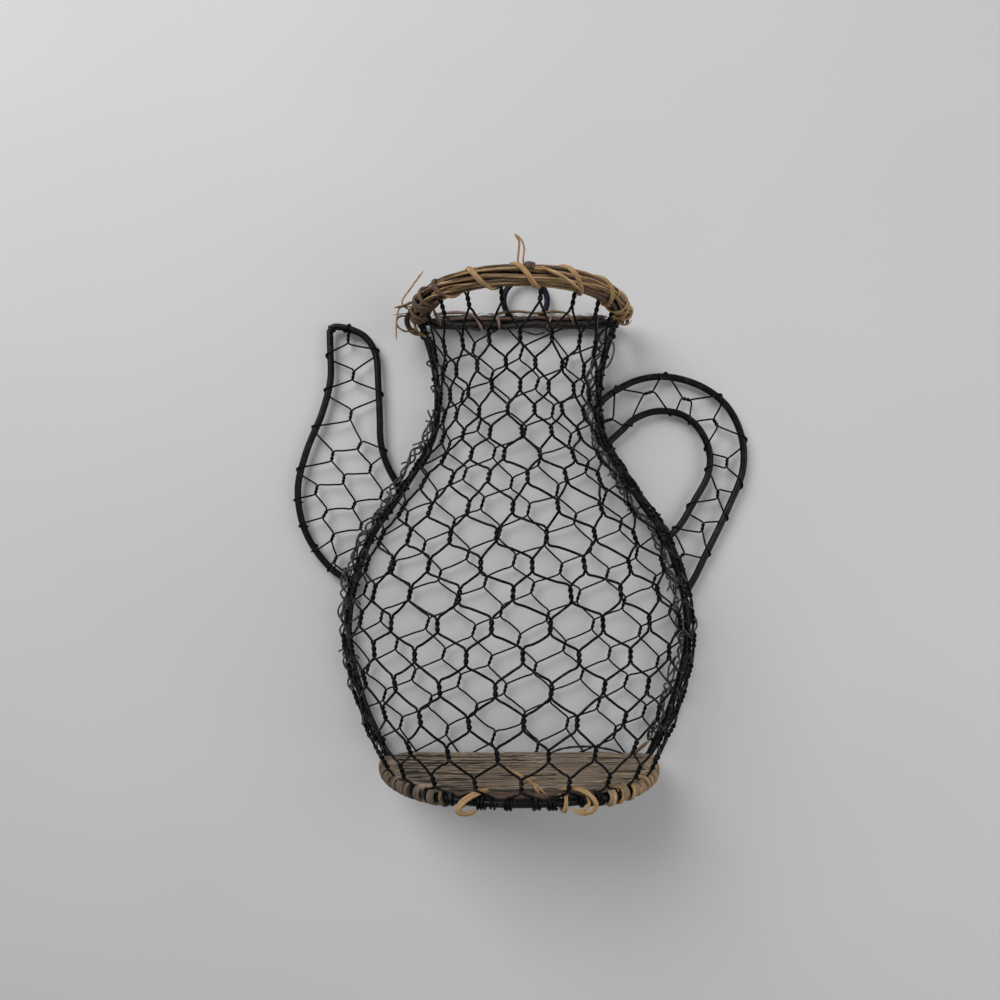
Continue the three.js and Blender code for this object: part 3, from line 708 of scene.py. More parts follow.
@dataclass(frozen=True)
class Shape:
    """The basket's outline, from the same sizes as its solids."""

    rod: float = 4.5
    squareness: float = 2.2
    rim: float = 290.0
    stations: tuple[Station, ...] = (
        Station(0, 86, 94), Station(41, 103.5, 107), Station(88, 112.5, 112), Station(142, 100, 103),
        Station(177, 77.5, 87), Station(212, 57, 71), Station(240, 53.5, 66), Station(266, 57, 71),
        Station(290, 64.5, 82),
    )
    spout_tip: Pair = (287.6, 59.5)
    spout_outer: Pairs = (
        (270, 66.8), (252, 70.3), (230, 76.5), (204, 80), (180, 70.7), (156, 51), (137, 31.6), (122, 12),
    )
    spout_outer_foot: float = 118.7
    spout_bend: Triple = (-1.9, 0, -3.4)
    spout_corner: tuple[Triple, ...] = ((-1.7, 0, -3.8), (0.6, 0, -0.9), (3.4, 0, -0.6))
    spout_inner: Pairs = (
        (285.2, 48), (280, 40.2), (269, 37), (248, 39), (226, 38), (211, 34), (199, 25), (187, 11.8),
    )
    spout_inner_foot: float = 178.5
    handle_outer: Pairs = (
        (244, 10.4), (252, 26.7), (253.6, 46), (246.3, 70), (233, 86.2), (213, 92.2),
        (191.5, 81.2), (168.6, 57.5), (151.5, 37.6), (135.4, 22.2), (121, 10.7),
    )
    handle_outer_ends: Pair = (236, 108)
    handle_inner: Pairs = (
        (217.8, 13.4), (225.3, 22.7), (230.8, 38), (229, 54), (220.7, 64.4), (205.3, 66.9),
        (189.2, 56.8), (171.5, 36.2), (154.9, 14.6),
    )
    handle_inner_ends: Pair = (208.5, 145.5)
    rod_spacing: float = 1.5

    def size(self, height: float) -> Pair:
        """Works out the body's size by a smooth curve through the stations.

        Args:
            height: Height in mm.

        Returns:
            Half the body's width and its depth there.
        """
        rows = self.stations
        last = len(rows) - 1
        i = 0
        while i < last - 1 and rows[i + 1].height < height:
            i += 1
        here, above = rows[i], rows[i + 1]
        span = above.height - here.height
        t = (height - here.height) / span
        sizes = []
        for name in ("half", "depth"):
            def slope(k: int) -> float:
                """How fast the size grows with height near a station."""
                low, high = rows[max(k - 1, 0)], rows[min(k + 1, last)]
                return (getattr(high, name) - getattr(low, name)) / (high.height - low.height)

            rise = getattr(above, name) - getattr(here, name)
            bend = t * (1 - t) * ((1 - t) * (slope(i) * span - rise) - t * (slope(i + 1) * span - rise))
            sizes.append(getattr(here, name) + t * rise + bend)
        return sizes[0], sizes[1]

    def beside(self, side: int, height: float, reach: float = 0.0) -> Array:
        """A point in the back's plane, a distance outside the side rod."""
        return vec(side * (self.size(height)[0] + reach), 0, height)

    def round_front(self, height: float, count: int = 160) -> Array:
        """Works out the body's front at one height.

        Args:
            height: Height in mm.
            count: How many steps it is worked out in.

        Returns:
            Points from right to left.
        """
        half, depth = self.size(height)
        angle = np.linspace(0, math.pi, count + 1)
        power = 2 / self.squareness
        x = np.sign(np.cos(angle)) * np.abs(np.cos(angle)) ** power * half
        y = -np.abs(np.sin(angle)) ** power * depth
        return np.stack([x, y, np.full_like(x, height)], axis=1)

    def side_rod(self, side: int) -> Route:
        """The side rod from the base bar to the rim bar."""
        return Route(np.array([self.beside(side, h) for h in np.linspace(0, self.rim, 117)]))

    def hoop(self, height: float, end_gap: float = 0.0) -> Route:
        """The hoop round the front, from right to left, stopping a distance before the back bar."""
        points = self.round_front(height, 240)
        return Route(points[-points[:, 1] >= end_gap])

    @staticmethod
    def share_at(hoop: Route, x: float) -> float:
        """The share of a hoop's length at an x away from its ends."""
        order = np.argsort(hoop.points[:, 0])
        return float(np.interp(x, hoop.points[order, 0], hoop.along[order]) / hoop.length)

    def spout_rods(self) -> tuple[Route, Route]:
        """Works out the spout's rods, which meet at the tip and run into the side rod.

        Returns:
            The outer and the inner rod.
        """
        tip = self.beside(LEFT, *self.spout_tip)
        starts = ([self.spout_bend], self.spout_corner)
        rods = []
        for start, free, foot in zip(
            starts, (self.spout_outer, self.spout_inner), (self.spout_outer_foot, self.spout_inner_foot)
        ):
            points = [tip + vec(*p) for p in start] + [self.beside(LEFT, *p) for p in (*free, (foot,))]
            rods.append(Route(smooth(points, self.rod_spacing)))
        return rods[0], rods[1]

    def handle_rods(self) -> tuple[Route, Route]:
        """Works out the handle's rods, whose ends run into the side rod.

        Returns:
            The outer and the inner rod.
        """
        rods = []
        for free, (top, foot) in (
            (self.handle_outer, self.handle_outer_ends), (self.handle_inner, self.handle_inner_ends)
        ):
            points = [self.beside(RIGHT, *p) for p in ((top,), *free, (foot,))]
            rods.append(Route(smooth(points, self.rod_spacing)))
        return rods[0], rods[1]


def around(route: Route, share: float, radius: float, degrees: float) -> Array:
    """Works out a point round a hoop.

    Args:
        route: The hoop's middle.
        share: Share of the hoop's length.
        radius: Distance from its middle.
        degrees: Way round it: 0 is its outer side and 90 its top.

    Returns:
        The point.
    """
    out = unit(np.cross(UP, route.way(share)))
    angle = math.radians(degrees)
    return route.at(share) + out * radius * math.cos(angle) + vec(0, 0, radius * math.sin(angle))


@dataclass
class Frame:
    """The welded rods: sides, bars, hoops, spout, handle and ring."""

    shape: Shape
    sides: int = 16
    ring_outer: float = 32.8
    ring_wire: float = 3.9
    ring_offset: float = 4.9
    ring_opening: float = 42.0
    bead: float = 1.0
    bead_reach: float = 1.02
    bead_sunk: float = 0.93

    def build(self) -> None:
        """Builds every rod and the weld beads at their ends."""
        shape = self.shape
        spout_outer, spout_inner = shape.spout_rods()
        handle_outer, handle_inner = shape.handle_rods()
        rods = {
            "side_rod_left": (shape.side_rod(LEFT), "back_frame_left_rod"),
            "side_rod_right": (shape.side_rod(RIGHT), "back_frame_right_rod"),
            "base_bar": (self.bar(0), "base_back_bar"),
            "rim_bar": (self.bar(shape.rim), "rim_back_bar"),
            "base_hoop_rod": (shape.hoop(0), "base_hoop"),
            "rim_hoop_rod": (shape.hoop(shape.rim), "rim_hoop"),
            "spout_rod_outer": (spout_outer, "spout_outer_rod"),
            "spout_rod_inner": (spout_inner, "spout_inner_rod"),
            "handle_rod_outer": (handle_outer, "handle_outer_rod"),
            "handle_rod_inner": (handle_inner, "handle_inner_rod"),
        }
        for seed, (name, (route, node)) in enumerate(rods.items()):
            rod = Strand(route.points, shape.rod / 2, self.sides, rough=0.012, seed=seed)
            make_piece(name, [rod], FINISH.rod, (node,))
        self.build_ring()
        joints = [(spout_outer, -1), (spout_inner, -1), (spout_inner, 0)]
        joints += [(rod, end) for rod in (handle_outer, handle_inner) for end in (0, -1)]
        joints += [(shape.hoop(height), end) for height in (0, shape.rim) for end in (0, -1)]
        joints += [(shape.side_rod(side), end) for side in (LEFT, RIGHT) for end in (0, -1)]
        make_piece("weld_beads", [self.weld(*joint, seed=i) for i, joint in enumerate(joints)], FINISH.rod)

    def bar(self, height: float) -> Route:
        """A straight bar across the back, reaching past both side rods."""
        reach = self.shape.size(height)[0] + self.shape.rod / 2
        return Route(np.array([vec(x, 0, height) for x in np.linspace(-reach, reach, 60)]))

    def weld(self, rod: Route, end: int, seed: int) -> Strand:
        """Shapes a lumpy bead round a rod where it meets another.

        Args:
            rod: The rod's middle.
            end: Its first end (0) or its last (-1).
            seed: Picks the bead's irregularity.

        Returns:
            The bead.
        """
        radius = self.shape.rod / 2
        reach = radius * self.bead_reach / rod.length
        share, step = (reach, 1) if end == 0 else (1 - reach, -1)
        centre, along = rod.at(share), rod.way(share) * step
        first = square_to(vec(0, 1, 0), along) if abs(along[1]) < 0.8 else square_to(vec(1, 0, 0), along)
        second = np.cross(along, first)
        turn = np.linspace(0, 2 * math.pi, 25)
        wobble = wave(turn * 4, 7, seed + 40) * 0.3
        around_rod = radius * self.bead_sunk
        points = [centre + (first * math.cos(t) + second * math.sin(t)) * around_rod + along * w
                  for t, w in zip(turn, wobble)]
        return Strand(np.array(points), self.bead, 8, rough=0.22, seed=seed + 60)

    def build_ring(self) -> None:
        """Builds the ring, whose ends are welded to the rim's bar."""
        radius = (self.ring_outer - self.ring_wire) / 2
        opening = math.radians(self.ring_opening)
        lift = self.shape.rod / 2 + (radius + self.ring_wire / 2) * math.cos(opening)
        centre = vec(self.ring_offset, 0, self.shape.rim + lift)
        turns = np.linspace(opening, 2 * math.pi - opening, 60)
        points = [centre + vec(math.sin(turn), 0, -math.cos(turn)) * radius for turn in turns]
        ring = Strand(np.array(points), self.ring_wire / 2, self.sides, rough=0.015, seed=21)
        make_piece("nail_ring", [ring], FINISH.ring, ("hanging_ring",))


End = tuple[object, int]


@dataclass
class Twist:
    """Two wires turned round each other, between a low and a high end."""

    low: Array
    high: Array
    normal: Array
    loose: float

    @property
    def lateral(self) -> Array:
        """The direction across the twist in the net's sheet."""
        return unit(np.cross(unit(self.high - self.low), self.normal))


@dataclass
class Netting:
    """Hexagonal wire netting, as unbroken wires through its twists."""

    wire: float = 1.2
    half_turns: int = 3
    looseness: Pair = (0.46, 0.56)
    mouth: float = 0.25
    bow: float = 0.028
    flare: float = 0.2
    stub: float = 1.5
    spacing: float = 2.6
    seed: int = 1
    twists: dict = field(default_factory=dict)
    links: list = field(default_factory=list)
    rng: random.Random = field(init=False)

    def __post_init__(self) -> None:
        """Seeds the net's irregularity."""
        self.rng = random.Random(self.seed)

    def stray(self, reach: float) -> Array:
        """A random offset of up to a reach each way."""
        return vec(*(self.rng.uniform(-reach, reach) for _ in range(3)))

    def add(self, key: object, low: Array, high: Array, normal: Array, play: float) -> None:
        """Adds a twist.

        Args:
            key: The twist's name.
            low: Its low end.
            high: Its high end.
            normal: The direction out of the net there.
            play: How far it strays and half as far leans, mostly within the net.
        """
        shift = self.stray(play)
        lean = self.stray(play) * 0.5
        normal = unit(normal)
        shift -= normal * float(shift @ normal) * 0.6
        loose = self.rng.uniform(*self.looseness)
        self.twists[key] = Twist(low + shift - lean, high + shift + lean, normal, loose)

    def link(self, first: End, second: End | None, via: list[Array] | None = None) -> None:
        """Joins two twist ends by a wire, or ends a wire, past the given points."""
        self.links.append((first, second, list(via or [])))

    def end_point(self, end: End) -> Array:
        """Where a twist's end lies."""
        twist = self.twists[end[0]]
        return twist.high if end[1] else twist.low

    def weave(self, keys: list[tuple[int, int]]) -> dict:
        """Links each twist of a regular net to the two above it.

        Args:
            keys: Column and row of every place that a twist or a rod may have.

        Returns:
            The twist ends that head for each place that has no twist.
        """
        beyond: dict = {}
        for here in keys:
            column, row = here
            for there in ((column, row + 1), (column + (1 if row % 2 else -1), row + 1)):
                if here in self.twists and there in self.twists:
                    self.link((here, 1), (there, 0))
                elif here in self.twists:
                    beyond.setdefault(there, []).append((here, 1))
                elif there in self.twists:
                    beyond.setdefault(here, []).append((there, 0))
        return beyond

    def ports(self) -> dict:
        """Works out which link leaves each twist end at its left (0) and right (1).

        Returns:
            The number of the link at each key, end and side.
        """
        waiting: dict = {}
        for i, (first, second, via) in enumerate(self.links):
            for end, other, points in ((first, second, via), (second, first, via[::-1])):
                if end is None:
                    continue
                aim = points[0] if points else self.end_point(other)
                across = float((aim - self.end_point(end)) @ self.twists[end[0]].lateral)
                waiting.setdefault(end, []).append((across, i))
        ports = {}
        for end, found in waiting.items():
            found.sort()
            if len(found) == 1:
                ports[(*end, 0 if found[0][0] < 0 else 1)] = found[0][1]
            for side, (_, i) in enumerate(found[:2] if len(found) > 1 else []):
                ports[(*end, side)] = i
        return ports

    def spiral(self, key: object, from_end: int, side: int) -> tuple[Array, int]:
        """One wire through a twist.

        Args:
            key: The twist.
            from_end: The end that the wire enters, 0 low or 1 high.
            side: The side that it enters at, 0 left or 1 right.

        Returns:
            The wire's points in the order that it runs, and the side that it leaves at.
        """
        twist = self.twists[key]
        low_side = side if from_end == 0 else (1 - side if self.half_turns % 2 else side)
        axis = unit(twist.high - twist.low)
        share = np.linspace(0, 1, 6 * self.half_turns + 1)
        angle = (math.pi if low_side == 0 else 0.0) + math.pi * self.half_turns * share
        reach = self.wire * (twist.loose + self.mouth * np.abs(2 * share - 1) ** 8)
        middle = twist.low + (twist.high - twist.low) * share[:, None]
        lateral = np.cross(axis, twist.normal)
        points = middle + (reach * np.cos(angle))[:, None] * lateral
        points = points + (self.wire * 0.52 * np.sin(angle))[:, None] * twist.normal
        leaves = 1 - side if self.half_turns % 2 else side
        return (points if from_end == 0 else points[::-1]), leaves

    def wires(self) -> list[Array]:
        """Follows every wire from end to end.

        Returns:
            Each wire's points.
        """
        ports = self.ports()
        by_link: dict = {}
        for port, i in ports.items():
            by_link.setdefault(i, []).append(port)
        entered = set()
        wires = []

        def run(port: tuple) -> Array:
            """Follows a wire.

            Args:
                port: The key, end and side where it first enters a twist.

            Returns:
                Its points from there to its end.
            """
            points: list[Array] = []
            while True:
                key, end, side = port
                entered.add(port)
                through, side = self.spiral(key, end, side)
                points.extend(through)
                leaving = (key, 1 - end, side)
                entered.add(leaving)
                if leaving not in ports:
                    points.append(through[-1] + unit(through[-1] - through[-3]) * self.wire * self.stub)
                    return np.array(points)
                i = ports[leaving]
                first, _, via = self.links[i]
                path = via if first == (key, 1 - end) else via[::-1]
                others = [p for p in by_link[i] if p != leaving]
                if not others:
                    return np.array(points + list(path))
                port = others[0]
                if port in entered:
                    return np.array(points)
                points.extend(self.bowed(through, path, self.spiral(*port)[0]))

        starts = []
        for port in product(self.twists, (0, 1), (0, 1)):
            if port not in ports:
                starts.append((port, []))
            elif len(by_link[ports[port]]) == 1:
                starts.append((port, self.links[ports[port]][2][::-1]))
        for port, lead in starts:
            if port in entered:
                continue
            first = self.spiral(*port)[0]
            start = lead or [first[0] + unit(first[0] - first[2]) * self.wire * self.stub]
            wires.append(np.vstack([np.array(start), run(port)]))
        for port in list(ports):
            if port not in entered:
                wires.append(run(port))
        return [smooth(points, self.spacing) for points in wires]

    def bowed(self, leaving: Array, via: list[Array], entering: Array) -> list[Array]:
        """Bends a link out of each twist, with a slight bow where the wire runs free.

        Args:
            leaving: The wire's points through the twist that it leaves.
            via: Points that it passes on the way, if any.
            entering: The wire's points through the twist that it enters.

        Returns:
            The points between the two.
        """
        if via:
            return list(via)
        start, end = leaving[-1], entering[0]
        run = end - start
        bow = self.stray(self.bow) * float(np.linalg.norm(run))
        out = unit(start - leaving[-4]) * self.wire * self.flare
        into = unit(end - entering[3]) * self.wire * self.flare
        first, last = start + out + run * 0.07, end + into - run * 0.07
        return [first, start + run * 0.3 + bow, start + run * 0.7 + bow, last]

    def strands(self) -> list[Strand]:
        """The wires as strands."""
        return [Strand(points, self.wire / 2, 8, seed=i) for i, points in enumerate(self.wires())]


@dataclass
class Wrap:
    """How a net's wire goes round a rod: the lead is the angle at which it first touches the rod."""

    rod: float
    wire: float
    lead: float = 38.0
    cut_lift: float = 0.4

    def points(
        self, route: Route, start: float, end: float, inward: Array, over: Array, turns: float = 1.0,
        slack: float = 0.0, slack_way: Array | None = None, loose: bool = False,
    ) -> list[Array]:
        """Points of a wire that reaches a rod, goes round it and leaves or ends.

        Args:
            route: The rod's middle.
            start: Distance along the rod where the wire arrives.
            end: Distance along the rod where it leaves or ends.
            inward: The direction from the rod towards the net.
            over: The side of the rod that the wire passes first.
            turns: Turns round the rod; 1 sends the wire back into the net.
            slack: How far the wire stands off the rod on one side.
            slack_way: That side.
            loose: Whether the last point lifts off the rod, as a cut end does.

        Returns:
            The points in order.
        """
        count = max(6, round(turns * 12))
        lead = math.radians(self.lead)
        sweep = 2 * math.pi * turns - lead * (1 if loose else 2)
        points = []
        for i in range(count + 1):
            share = (start + (end - start) * i / count) / route.length
            centre, along = route.at(share), route.way(share)
            near = square_to(inward, along)
            side = np.cross(along, near)
            side = side if float(side @ over) > 0 else -side
            angle = lead + sweep * i / count
            out = near * math.cos(angle) + side * math.sin(angle)
            lift = self.cut_lift if loose and i == count else 0.0
            if slack_way is not None:
                lift += slack * max(0.0, float(out @ slack_way)) ** 2
            points.append(centre + out * ((self.rod + self.wire) / 2 + lift))
        return points


@dataclass
class EdgeChain:
    """The loosely twisted wires that run along a side rod, with short cut ends.

    Attributes:
        shape: The basket's outline.
        piece: The piece's name.
        side: LEFT or RIGHT.
        short: How far before the rod's top the wires stop.
        inside: Height of each place that they pass, and how far inside the rod it is.
        seed: Picks their irregularity.
        wires: Where each wire starts its turns, their length and how far they reach.
    """

    shape: Shape
    piece: str
    side: int
    short: float
    inside: Pairs
    seed: int
    wires: tuple[Triple, ...] = ((0.0, 15, 1.7), (math.pi, 15, 1.7), (1.2, 23, 2.6))
    radius: float = 0.68
    start: float = 12.0
    step: float = 1.1
    before: float = 3.4
    depth: float = 0.8
    cut_ends: int = 12
    cut_radius: float = 0.6
    cut_length: Pair = (3.4, 6.0)

    def build(self) -> None:
        """Builds the wires and the cut ends as one piece."""
        rng = random.Random(self.seed)
        rod = self.shape.side_rod(self.side)
        along = np.arange(self.start, rod.length - self.short, self.step)
        middles = np.array([rod.at(a / rod.length) for a in along])
        ways = np.array([rod.way(a / rod.length) for a in along])
        inner = np.array([square_to(vec(-self.side, 0, 0), way) for way in ways])
        aside = np.interp(middles[:, 2], *zip(*self.inside)) + 1.6 * wave(along, 75, self.seed)
        before = self.before + 0.8 * wave(along, 45, self.seed + 1)
        middles = middles + inner * aside[:, None] + FRONT * before[:, None]
        strands = []
        for first, lay, reach in self.wires:
            turn = along / lay * 2 * math.pi + 1.6 * wave(along, 50, self.seed + 2)
            width = reach * (1 + 0.7 * wave(along, 33, self.seed + 3))
            swing = (width * np.cos(turn + first))[:, None] * inner
            swing = swing + (self.depth * np.sin(turn + first))[:, None] * FRONT
            strands.append(Strand(smooth(middles + swing, 1.4), self.radius, 8, seed=self.seed))
        for i in range(self.cut_ends):
            k = rng.randrange(4, len(along) - 4)
            middle, way = middles[k], ways[k]
            out = inner[k] * rng.choice((-1, -1, 1))
            tip = middle + out * rng.uniform(*self.cut_length) + way * rng.uniform(-4, 4)
            points = [middle - way * 3, middle + FRONT * self.depth, (middle + tip) / 2 + way, tip]
            strands.append(Strand(smooth(points, 1.2), self.cut_radius, 8, seed=self.seed + i))
        make_piece(self.piece, strands, FINISH.worn)


@dataclass
class FrontNet:
    """The net that bulges round the front, wrapped round the side rods and both hoops."""

    shape: Shape
    wire: float = 1.45
    columns: int = 12
    row_heights: tuple[float, ...] = (
        11.4, 27.7, 46, 64, 81.5, 97.4, 114, 129, 145, 160, 178.8, 191, 205, 219, 232, 245.8, 260, 281)
    twist_share: float = 0.6
    twist_most: float = 9.4
    lean_rows: Pair = (4, 12)
    lean_columns: float = -1.0
    spread_rows: Pair = (13, 17)
    spread: float = 0.14
    edge: float = 0.3
    play: float = 0.7
    play_margin: float = 1.5
    hoop_shares: Pair = (0.03, 0.97)
    hoop_start: float = 2.2
    hoop_reach: float = 2.5
    hoop_turns: float = 1.35
    pair_reach: float = 1.5
    single_reach: float = 1.8
    single_turns: float = 0.9
    slack: Pair = (0, 0.3)
    loose_slack: Pair = (1.5, 4.0)
    loose_share: float = 0.3
    loops: tuple[tuple[int, float, float, float], ...] = (
        (RIGHT, 90.4, 14, 6.0), (RIGHT, 61.5, 8, 5.2), (RIGHT, 47.9, 10, 5.6), (RIGHT, 194.5, 9, 4.4),
        (RIGHT, 183.2, 9, 4.2), (RIGHT, 153, 9, 4.8), (RIGHT, 149, 7, 4.0), (RIGHT, 268, 20, 5.5),
        (LEFT, 98.7, 15, 7.5), (LEFT, 64, 12, 5.8), (LEFT, 262, 5, 4.2), (LEFT, 246, 4, 4.0),
    )
    loop_radius: float = 0.62
    stub_height: float = 34.2
    seed: int = 7
    rings: dict = field(default_factory=dict)

    @property
    def rows(self) -> int:
        """How many rows of twists the net has."""
        return len(self.row_heights)

    def height(self, row: float) -> float:
        """Works out how high a row lies.

        Args:
            row: Rows from the base hoop; the lowest twists have their middles at 0.5.

        Returns:
            The height in mm.
        """
        marks = [0, *self.row_heights, self.shape.rim]
        places = np.clip(np.arange(len(marks)) - 0.5, 0, self.rows)
        return float(np.interp(row, places, marks))

    def place(self, column: float, row: float) -> Array:
        """Finds a point of the front.

        Args:
            column: Columns from the left side rod.
            row: Rows from the base hoop.

        Returns:
            The point.
        """
        key = round(self.height(row), 3)
        if key not in self.rings:
            self.rings[key] = Route(self.shape.round_front(key))
        return self.rings[key].at(float(np.clip(1 - column / self.columns, 0, 1)))

    def normal(self, column: float, row: float) -> Array:
        """Works out the direction out of the front.

        Args:
            column: Columns from the left side rod.
            row: Rows from the base hoop.

        Returns:
            The unit direction.
        """
        small = 0.05
        east = self.place(column + small, row) - self.place(column - small, row)
        north = self.place(column, row + small) - self.place(column, row - small)
        return unit(np.cross(east, north))

    def across(self, column: int, row: int) -> float:
        """Works out where a twist lies in its row, whose columns lean and spread with height.

        Args:
            column: The twist's own column.
            row: Its row.

        Returns:
            Columns from the left side rod.
        """
        t, wide = (
            float(np.clip((row - first) / (last - first), 0, 1))
            for first, last in (self.lean_rows, self.spread_rows))
        lean = 0.5 + self.lean_columns * t * t * (3 - 2 * t)
        middle = self.columns / 2
        return middle + (column + (1.0 if row % 2 else 0.5) + lean - middle) * (1 + self.spread * wide)

    def build(self) -> None:
        """Builds the net and the wire chains along its two edges."""
        net = Netting(wire=self.wire, seed=self.seed)
        columns = range(-2, self.columns + 2)
        for row in range(self.rows):
            for column in columns:
                across = self.across(column, row)
                if not self.edge < across < self.columns - self.edge:
                    continue
                middle = row + 0.5
                spacing = self.height(middle + 0.5) - self.height(middle - 0.5)
                half = min(self.twist_share, self.twist_most / spacing) / 2
                low, high = self.place(across, middle - half), self.place(across, middle + half)
                near = min(1, min(across, self.columns - across) / self.play_margin)
                net.add((column, row), low, high, self.normal(across, middle), self.play * near)
        beyond = net.weave([(column, row) for row in range(-1, self.rows) for column in columns])
        for key, ends in beyond.items():
            self.finish_edge(net, key, ends)
        make_piece("net_front", net.strands(), FINISH.wire, ("front_net",))
        left_inside = ((60, -1.5), (110, -5), (240, -4.6), (285, -2))
        EdgeChain(self.shape, "net_edge_left", LEFT, 60, left_inside, 31).build()
        EdgeChain(self.shape, "net_edge_right", RIGHT, 14, ((0, 6.0),), 37).build()
        self.build_loops()

    def finish_edge(self, net: Netting, key: tuple[int, int], ends: list[End]) -> None:
        """Takes the wires that reach past the net's edge round the rod there.

        Args:
            net: The net that the wires belong to.
            key: Column and row of the place that they head for.
            ends: The twist ends that they leave.
        """
        column, row = key
        across = self.across(column, row)
        wrap = Wrap(self.shape.rod, net.wire)
        if row >= self.rows or row < 0:
            up = 1 if row > 0 else -1
            hoop = self.shape.hoop(self.shape.rim if up > 0 else 0)
            share = float(np.clip(1 - across / self.columns, *self.hoop_shares))
            out = np.cross(UP, hoop.way(share))
            for end in ends:
                away = float((net.end_point(end) - hoop.at(share)) @ hoop.way(share))
                start = share * hoop.length + math.copysign(self.hoop_start, away)
                reach = start + math.copysign(self.hoop_reach, away)
                path = wrap.points(hoop, start, reach, vec(0, 0, -up), out, self.hoop_turns, loose=True)
                net.link(end, None, path)
            return
        side = LEFT if across < self.columns / 2 else RIGHT
        rod = self.shape.side_rod(side)
        middle = rod.nearest(self.shape.beside(side, self.height(row + 0.5))).along
        over = vec(side * net.rng.choice((1, 1, -1)), 0, 0)
        slack = net.rng.uniform(*(self.loose_slack if net.rng.random() < self.loose_share else self.slack))
        outside = vec(side, 0, 0)
        ends.sort(key=lambda end: net.end_point(end)[2])
        if len(ends) == 2:
            start, reach = middle - self.pair_reach, middle + self.pair_reach
            net.link(*ends, wrap.points(rod, start, reach, FRONT, over, 1.0, slack, outside))
            return
        for end in ends:
            below = net.end_point(end)[2] < rod.at(middle / rod.length)[2]
            up = self.single_reach if below else -self.single_reach
            path = wrap.points(
                rod, middle - up, middle + up, FRONT, over, self.single_turns, slack, outside, loose=True)
            net.link(end, None, path)

    def build_loops(self) -> None:
        """Builds the loops, each from its side, height, length and bulge, and a stub of wire."""
        strands = []
        for i, (side, height, length, bulge) in enumerate(self.loops):
            points = []
            for turn in np.linspace(-0.35, 1.35, 15) * math.pi:
                foot = self.shape.beside(side, height - math.cos(turn) * length / 2)
                before = 0.6 + 2.6 * math.cos(turn / 2) ** 2
                points.append(foot + vec(side * math.sin(turn) * bulge, -before, 0))
            strands.append(Strand(smooth(points, 1.2), self.loop_radius, 8, seed=i))
        foot = self.shape.beside(RIGHT, self.stub_height)
        stub = smooth(foot + np.array([(-1, -2.6, 2), (2, -2.4, 0.6), (6, -1, 0)]), 1.2)
        strands.append(Strand(stub, self.loop_radius, 8, seed=20))
        make_piece("net_edge_loops", strands, FINISH.worn)


@dataclass
class BackNet:
    """The flat net across the back, stretched sideways and leaning, wrapped round the rods there."""

    shape: Shape
    pitch: float = 30.9
    row: float = 17.1
    twist: float = 9.0
    row_fall: float = 9.0
    column_lean: float = 14.5
    start: Pair = (-27.9, 92.8)
    columns: range = range(-8, 9)
    rows: range = range(-8, 15)
    margin: float = 3.4
    top_margin: float = 6.4
    play: float = 0.8
    search: float = 1.6
    met: float = 1.6
    hook_reach: float = 1.3
    hook_turns: float = 0.75
    seed: int = 11

    def turned(self, across: float, up: float) -> Array:
        """Finds a point of the leaning pattern, in the back's plane.

        Args:
            across: Columns from its start.
            up: Rows from its start.

        Returns:
            The point.
        """
        fall, lean = math.radians(self.row_fall), math.radians(self.column_lean)
        x, z = across * self.pitch, up * self.row
        return vec(self.start[0] + x * math.cos(fall) + z * math.sin(lean), 0,
                   self.start[1] - x * math.sin(fall) + z * math.cos(lean))

    def ends(self, column: int, row: int) -> tuple[Array, Array]:
        """Works out where a twist lies.

        Args:
            column: Its column.
            row: Its row.

        Returns:
            Its low and its high end.
        """
        across = column + (1.0 if row % 2 else 0.5)
        half = self.twist / self.row / 2
        return self.turned(across, row + 0.5 - half), self.turned(across, row + 0.5 + half)

    def inside(self, point: Array) -> bool:
        """Whether a point lies inside the back frame, clear of its rods."""
        level = self.margin < point[2] < self.shape.rim - self.top_margin
        return level and abs(point[0]) < self.shape.size(point[2])[0] - self.margin

    def build(self) -> None:
        """Builds the net as one piece."""
        net = Netting(seed=self.seed)
        keys = [(column, row) for row in self.rows for column in self.columns]
        for key in keys:
            low, high = self.ends(*key)
            if self.inside(low) and self.inside(high):
                net.add(key, low, high, FRONT, self.play)
        bars = [Frame(self.shape).bar(height) for height in (0, self.shape.rim)]
        rods = [self.shape.side_rod(LEFT), self.shape.side_rod(RIGHT), *bars]
        for key, ends in net.weave(keys).items():
            for end in ends:
                self.hook(net, end, sum(self.ends(*key)) / 2, rods)
        make_piece("net_back", net.strands(), FINISH.wire, ("back_net",))

    def hook(self, net: Netting, end: End, target: Array, rods: list[Route]) -> None:
        """Ends a wire round the rod that it meets on its way to a target.

        Args:
            net: The net that the wire belongs to.
            end: The twist end that it leaves.
            target: The point that it heads for.
            rods: The rods that it may meet.
        """
        start = net.end_point(end)
        best, met = None, rods[0]
        for share in np.linspace(0, self.search, 60):
            for rod in rods:
                spot = rod.nearest(start + (target - start) * share)
                if best is None or spot.apart < best.apart - 0.05:
                    best, met = spot, rod
            if best.apart < self.met:
                break
        up = math.copysign(self.hook_reach, float((best.place - start) @ best.way))
        over = vec(0, net.rng.choice((-1, 1)), 0)
        low, high = best.along - up, best.along + up
        path = Wrap(self.shape.rod, net.wire).points(
            met, low, high, start - best.place, over, self.hook_turns, loose=True)
        net.link(end, None, path)


